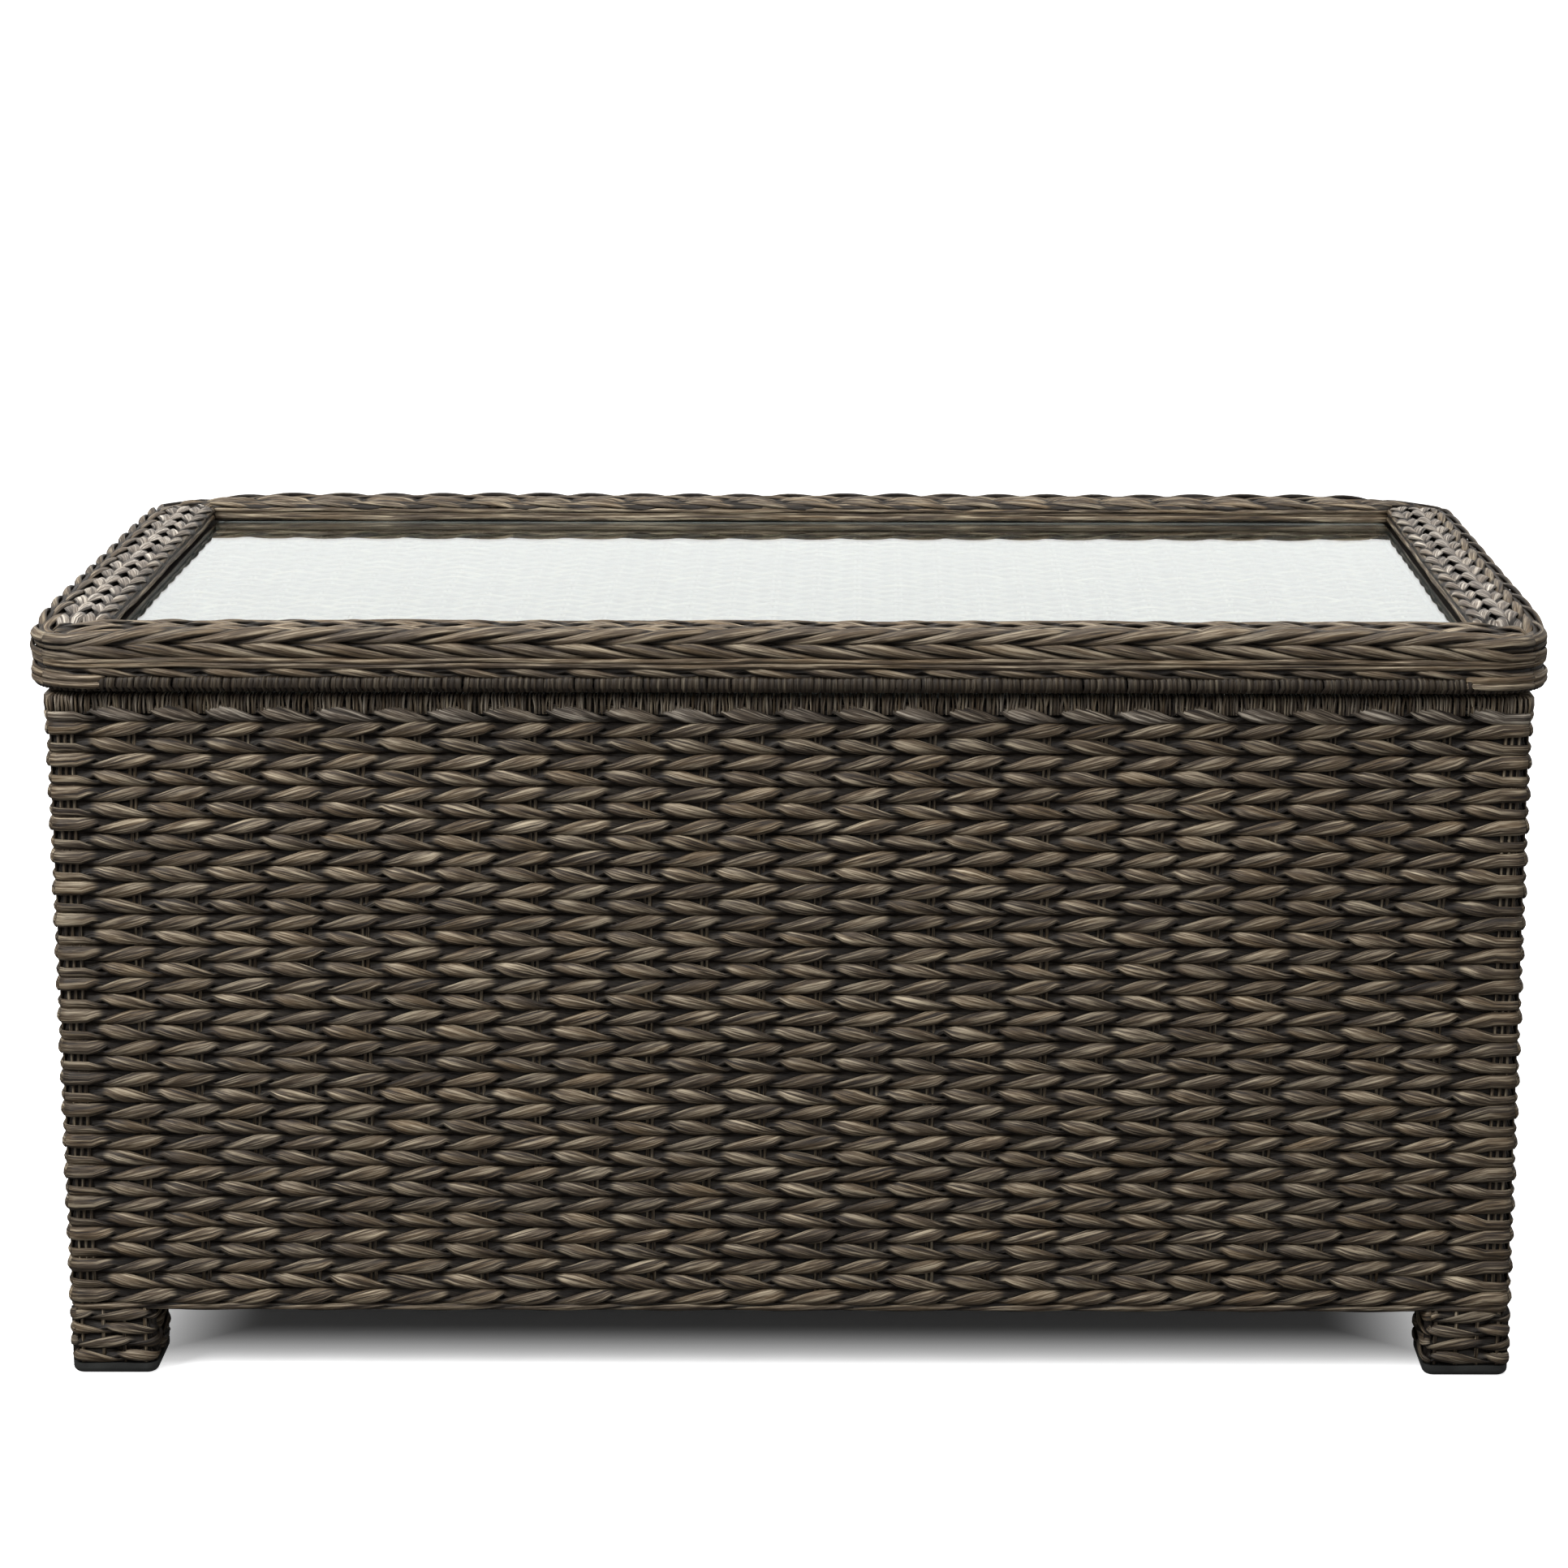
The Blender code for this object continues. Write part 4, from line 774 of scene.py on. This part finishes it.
class TABLE_OT_lid_panel(bpy.types.Operator):
    """Weave the open panel under the glass"""

    bl_idname = "table.lid_panel"
    bl_label = "Lid panel"

    def execute(self, context):
        bundle = Strands(500)
        warp_pitch, weft_pitch, wave_height, apart = 0.031, 0.0112, 0.0019, 0.0020
        middle = (PANEL_LOW.z + PANEL_HIGH.z) / 2
        half_x, half_y = PANEL_HIGH.x, PANEL_HIGH.y
        warps = int(2 * half_x / warp_pitch)
        wefts = int(2 * half_y / weft_pitch)
        warp_x = (np.arange(warps) + 0.5 - warps / 2) * 2 * half_x / warps
        weft_y = (np.arange(wefts) + 0.5 - wefts / 2) * 2 * half_y / wefts
        reach = np.linspace(-half_x, half_x, warps * 6 + 1)
        for number, y in enumerate(weft_y):
            wave = np.sin(math.pi * (reach - warp_x[0]) / (2 * half_x / warps) + QUARTER + number * math.pi)
            sway = bundle.wobble(1, reach, 0.1, 0.0006)[0]
            path = np.stack([reach, y + sway, middle + wave_height * wave], axis=-1)
            bundle.sweep(path[None], UP, widths=0.0082, thicknesses=0.0026)
        run = np.linspace(-half_y, half_y, 30)
        for x in warp_x:
            for shift in (-apart, apart):
                sway = bundle.wobble(1, run, 0.2, 0.0005)[0]
                path = np.stack([x + shift + sway, run, np.full_like(run, middle)], axis=-1)
                bundle.sweep(path[None], UP, widths=0.0030, thicknesses=0.0016)
        piece = bundle.build("woven_lid_panel", bpy.data.materials["weathered_resin_wicker"])
        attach(piece, "lid")
        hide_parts("lid_panel")
        return {"FINISHED"}


class TABLE_OT_finishes(bpy.types.Operator):
    """Make the finishes, and give them to the frame, glass, hinges, struts and buffers"""

    bl_idname = "table.finishes"
    bl_label = "Finishes"

    def execute(self, context):
        finishes = {
            # Powder coat: baked paint with a fine orange peel
            "coated_steel": solid_finish("powder_coated_steel", "2A2622", "38332E", 0.0012, 0.06,
                                         (0.42, 0.55), 0.0001),
            # Polypropylene: moulded with a fine even grain, dulled by handling
            "black_plastic": solid_finish("moulded_polypropylene", "1B1C1B", "343533", 0.0006, 0.02,
                                          (0.45, 0.62), 0.0001),
            # Fibreboard: pressed, with short grey fibres
            "grey_board": solid_finish("pressed_fibreboard", "4B4844", "625E59", 0.0020, 0.09,
                                       (0.70, 0.85), 0.0002, 0.0, (1.0, 0.25, 1.0)),
            # Rubber: moulded, matt and a little dusty
            "rubber": solid_finish("moulded_rubber", "171717", "262625", 0.0008, 0.012,
                                   (0.72, 0.88), 0.0001),
            # Zinc plate: thin, bright and slightly clouded over rolled steel
            "zinc_plated_steel": solid_finish("zinc_plated_steel", "9C9C98", "C4C4C0", 0.0015, 0.010,
                                              (0.28, 0.42), 0.00005, 1.0),
            # Sprayed silver-grey paint on a drawn tube
            "grey_painted_steel": solid_finish("silver_grey_paint", "8E9092", "A9ABAC", 0.0009, 0.03,
                                               (0.30, 0.42), 0.00005),
            # Hard chrome: ground and polished round
            "chromed_steel": solid_finish("hard_chrome", "D2D3D4", "E4E5E6", 0.0008, 0.02,
                                          (0.06, 0.14), 0.00001, 1.0),
            "tempered_glass": float_glass(),
        }
        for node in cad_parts.values():
            for place in node.material_slots:
                if place.material.name in finishes:
                    place.material = finishes[place.material.name]
        return {"FINISHED"}


class TABLE_OT_feet(bpy.types.Operator):
    """Mould a cap with rounded edges for each foot"""

    bl_idname = "table.feet"
    bl_label = "Feet"

    def execute(self, context):
        side_radius, sole_radius, tiny = 0.0085, 0.0050, 1e-5
        for name in CORNERS:
            low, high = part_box(f"foot_{name}")
            high.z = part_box(f"leg_sleeve_{name}")[0].z
            bpy.ops.object.select_all(action="DESELECT")
            bpy.ops.mesh.primitive_cube_add(size=1.0, location=(low + high) / 2, scale=high - low)
            bpy.ops.object.transform_apply(location=True, rotation=True, scale=True)
            foot = context.object
            foot.name = f"foot_cap_{name}"
            self.round_edges(foot, lambda a, b: (a - b).xy.length < tiny, side_radius)
            self.round_edges(foot, lambda a, b: max(a.z, b.z) < low.z + tiny, sole_radius)
            bpy.ops.object.shade_smooth_by_angle(angle=math.radians(35.0))
            foot.data.materials.append(bpy.data.materials["moulded_polypropylene"])
            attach(foot, "chest")
            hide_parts(f"foot_{name}")
        return {"FINISHED"}

    def round_edges(self, foot, wanted, radius):
        """Round the edges whose two ends pass a test."""
        bpy.ops.object.mode_set(mode="EDIT")
        bpy.ops.mesh.select_mode(type="EDGE")
        bpy.ops.mesh.select_all(action="DESELECT")
        bpy.ops.object.mode_set(mode="OBJECT")
        for edge in foot.data.edges:
            edge.select = wanted(*(foot.data.vertices[i].co for i in edge.vertices))
        bpy.ops.object.mode_set(mode="EDIT")
        bpy.ops.mesh.bevel(offset=radius, segments=5, profile=0.5, affect="EDGES")
        bpy.ops.object.mode_set(mode="OBJECT")


class TABLE_OT_stage(bpy.types.Operator):
    """Set the floor, the studio light and the camera"""

    bl_idname = "table.stage"
    bl_label = "Stage"

    def execute(self, context):
        scene = context.scene
        scene.view_settings.view_transform = "Standard"
        self.add_floor()
        self.add_world(scene)
        self.add_lamp("overhead_softbox", (0.0, -0.9, 3.0), (0.0, -0.1, 0.3), 2.6, 1.8, 70.0)
        self.add_lamp("key_softbox", (-2.2, -1.8, 2.6), (-0.1, -0.2, 0.40), 1.2, 1.2, 84.0)
        self.add_lamp("back_softbox", (0.0, 3.3, 1.15), (0.0, 0.0, 0.7), 3.6, 0.9, 5.2)
        self.add_camera(scene)
        return {"FINISHED"}

    def add_floor(self):
        """A wide pale floor that keeps the shadow."""
        bpy.ops.object.select_all(action="DESELECT")
        bpy.ops.mesh.primitive_plane_add(size=60.0, location=(0.0, 0.0, 0.0))
        floor = bpy.context.object
        floor.name = "floor"
        material, tree, shader = new_material("pale_studio_floor")
        shader.inputs["Roughness"].default_value = 0.9
        shader.inputs["Specular IOR Level"].default_value = 0.0
        path = add_node(tree, "ShaderNodeLightPath")
        paint = add_node(tree, "ShaderNodeMix", {"data_type": "RGBA"},
                         {6: linear("6E6E6E"), 7: linear("F6F6F6")}, {0: path.outputs["Is Camera Ray"]})
        tree.links.new(paint.outputs[2], shader.inputs["Base Color"])
        # Painted light: out from under the table a glow seen only by the camera lightens the floor's shadow
        # towards its edges and fades the floor to the plain white of the background
        place = add_node(tree, "ShaderNodeTexCoord").outputs["Object"]
        away = add_node(tree, "ShaderNodeVectorMath", {"operation": "ABSOLUTE"}, None, {0: place})
        split = add_node(tree, "ShaderNodeSeparateXYZ", None, None, {0: away.outputs[0]})
        fade = add_node(tree, "ShaderNodeMath", {"operation": "MAXIMUM"})
        for number, (axis, start, end) in enumerate((("X", 0.40, 0.58), ("Y", 0.19, 0.335))):
            slope = add_node(tree, "ShaderNodeMapRange", {"interpolation_type": "SMOOTHSTEP"},
                             {1: start, 2: end, 3: 0.01, 4: 1.0}, {0: split.outputs[axis]})
            tree.links.new(slope.outputs[0], fade.inputs[number])
        painted_floor_glow = add_node(tree, "ShaderNodeMath", {"operation": "MULTIPLY"}, None,
                        {0: fade.outputs[0], 1: path.outputs["Is Camera Ray"]})
        shader.inputs["Emission Color"].default_value = WHITE
        tree.links.new(painted_floor_glow.outputs[0], shader.inputs["Emission Strength"])
        floor.data.materials.append(material)

    def add_world(self, scene):
        """Even light, and plain white where the background shows or is mirrored."""
        world = bpy.data.worlds.new("studio")
        world.use_nodes = True
        scene.world = world
        tree = world.node_tree
        soft = tree.nodes["Background"]
        soft.inputs["Color"].default_value = WHITE
        soft.inputs["Strength"].default_value = 0.30
        white = add_node(tree, "ShaderNodeBackground", None, {"Color": WHITE, "Strength": 1.0})
        path = add_node(tree, "ShaderNodeLightPath")
        seen = path.outputs["Is Camera Ray"]
        for ray in ("Is Glossy Ray", "Is Transmission Ray"):
            seen = add_node(tree, "ShaderNodeMath", {"operation": "MAXIMUM"}, None,
                            {0: seen, 1: path.outputs[ray]}).outputs[0]
        mix = add_node(tree, "ShaderNodeMixShader", None, None,
                       {0: seen, 1: soft.outputs[0], 2: white.outputs[0]})
        tree.links.new(mix.outputs[0], tree.nodes["World Output"].inputs["Surface"])

    def add_lamp(self, name, place, target, width, height, power):
        """A rectangular softbox aimed at a point."""
        data = bpy.data.lights.new(name, "AREA")
        data.shape = "RECTANGLE"
        data.size = width
        data.size_y = height
        data.energy = power
        lamp = bpy.data.objects.new(name, data)
        lamp.location = place
        lamp.rotation_euler = (Vector(target) - Vector(place)).to_track_quat("-Z", "Y").to_euler()
        lamp.visible_camera = False
        bpy.context.scene.collection.objects.link(lamp)

    def add_camera(self, scene):
        """The camera at the photograph's view, worked out for a square picture of 1932 pixels."""
        pixels, focal, middle_x = 1932.0, 5165.6, 1067.7
        place, pitch, roll = (0.0551, -3.2003, 1.108), 12.86, 0.119
        data = bpy.data.cameras.new("camera")
        data.sensor_width = 36.0
        data.lens = focal / pixels * data.sensor_width
        data.shift_x = (pixels / 2 - middle_x) / pixels
        data.clip_start = 0.05
        camera = bpy.data.objects.new("camera", data)
        tilted = Matrix.Rotation(math.radians(90.0 - pitch), 4, "X")
        rolled = Matrix.Rotation(math.radians(roll), 4, "Z")
        camera.matrix_world = Matrix.Translation(place) @ tilted @ rolled
        scene.collection.objects.link(camera)
        scene.camera = camera


OPERATORS = (TABLE_OT_walls, TABLE_OT_rim_wrap, TABLE_OT_legs, TABLE_OT_lid_border, TABLE_OT_lid_panel,
             TABLE_OT_finishes, TABLE_OT_feet, TABLE_OT_stage)


class TABLE_PT_panel(bpy.types.Panel):
    """Lists the operators that build the table"""

    bl_idname = "TABLE_PT_panel"
    bl_label = "Wicker coffee table"
    bl_space_type = "VIEW_3D"
    bl_region_type = "UI"
    bl_category = "Table"

    def draw(self, context):
        for operator in OPERATORS:
            self.layout.operator(operator.bl_idname)


CLASSES = (TableWeave, TableColours) + OPERATORS + (TABLE_PT_panel,)


def register():
    for cls in CLASSES:
        bpy.utils.register_class(cls)
    bpy.types.Scene.table_weave = bpy.props.PointerProperty(type=TableWeave)
    bpy.types.Scene.table_colours = bpy.props.PointerProperty(type=TableColours)


def unregister():
    del bpy.types.Scene.table_colours
    del bpy.types.Scene.table_weave
    for cls in reversed(CLASSES):
        bpy.utils.unregister_class(cls)


def main():
    register()
    colours = bpy.context.scene.table_colours
    tones = (colours.wicker_dark, colours.wicker_mid, colours.wicker_light, colours.wicker_warm,
             colours.wicker_painted_shade)
    resin_wicker("weathered_resin_wicker", *tones)
    resin_wicker("worn_resin_wicker", *tones, gain=1.05, soft=0.04)
    for operator in OPERATORS:
        group, name = operator.bl_idname.split(".")
        getattr(getattr(bpy.ops, group), name)()


if __name__ == "__main__":
    main()
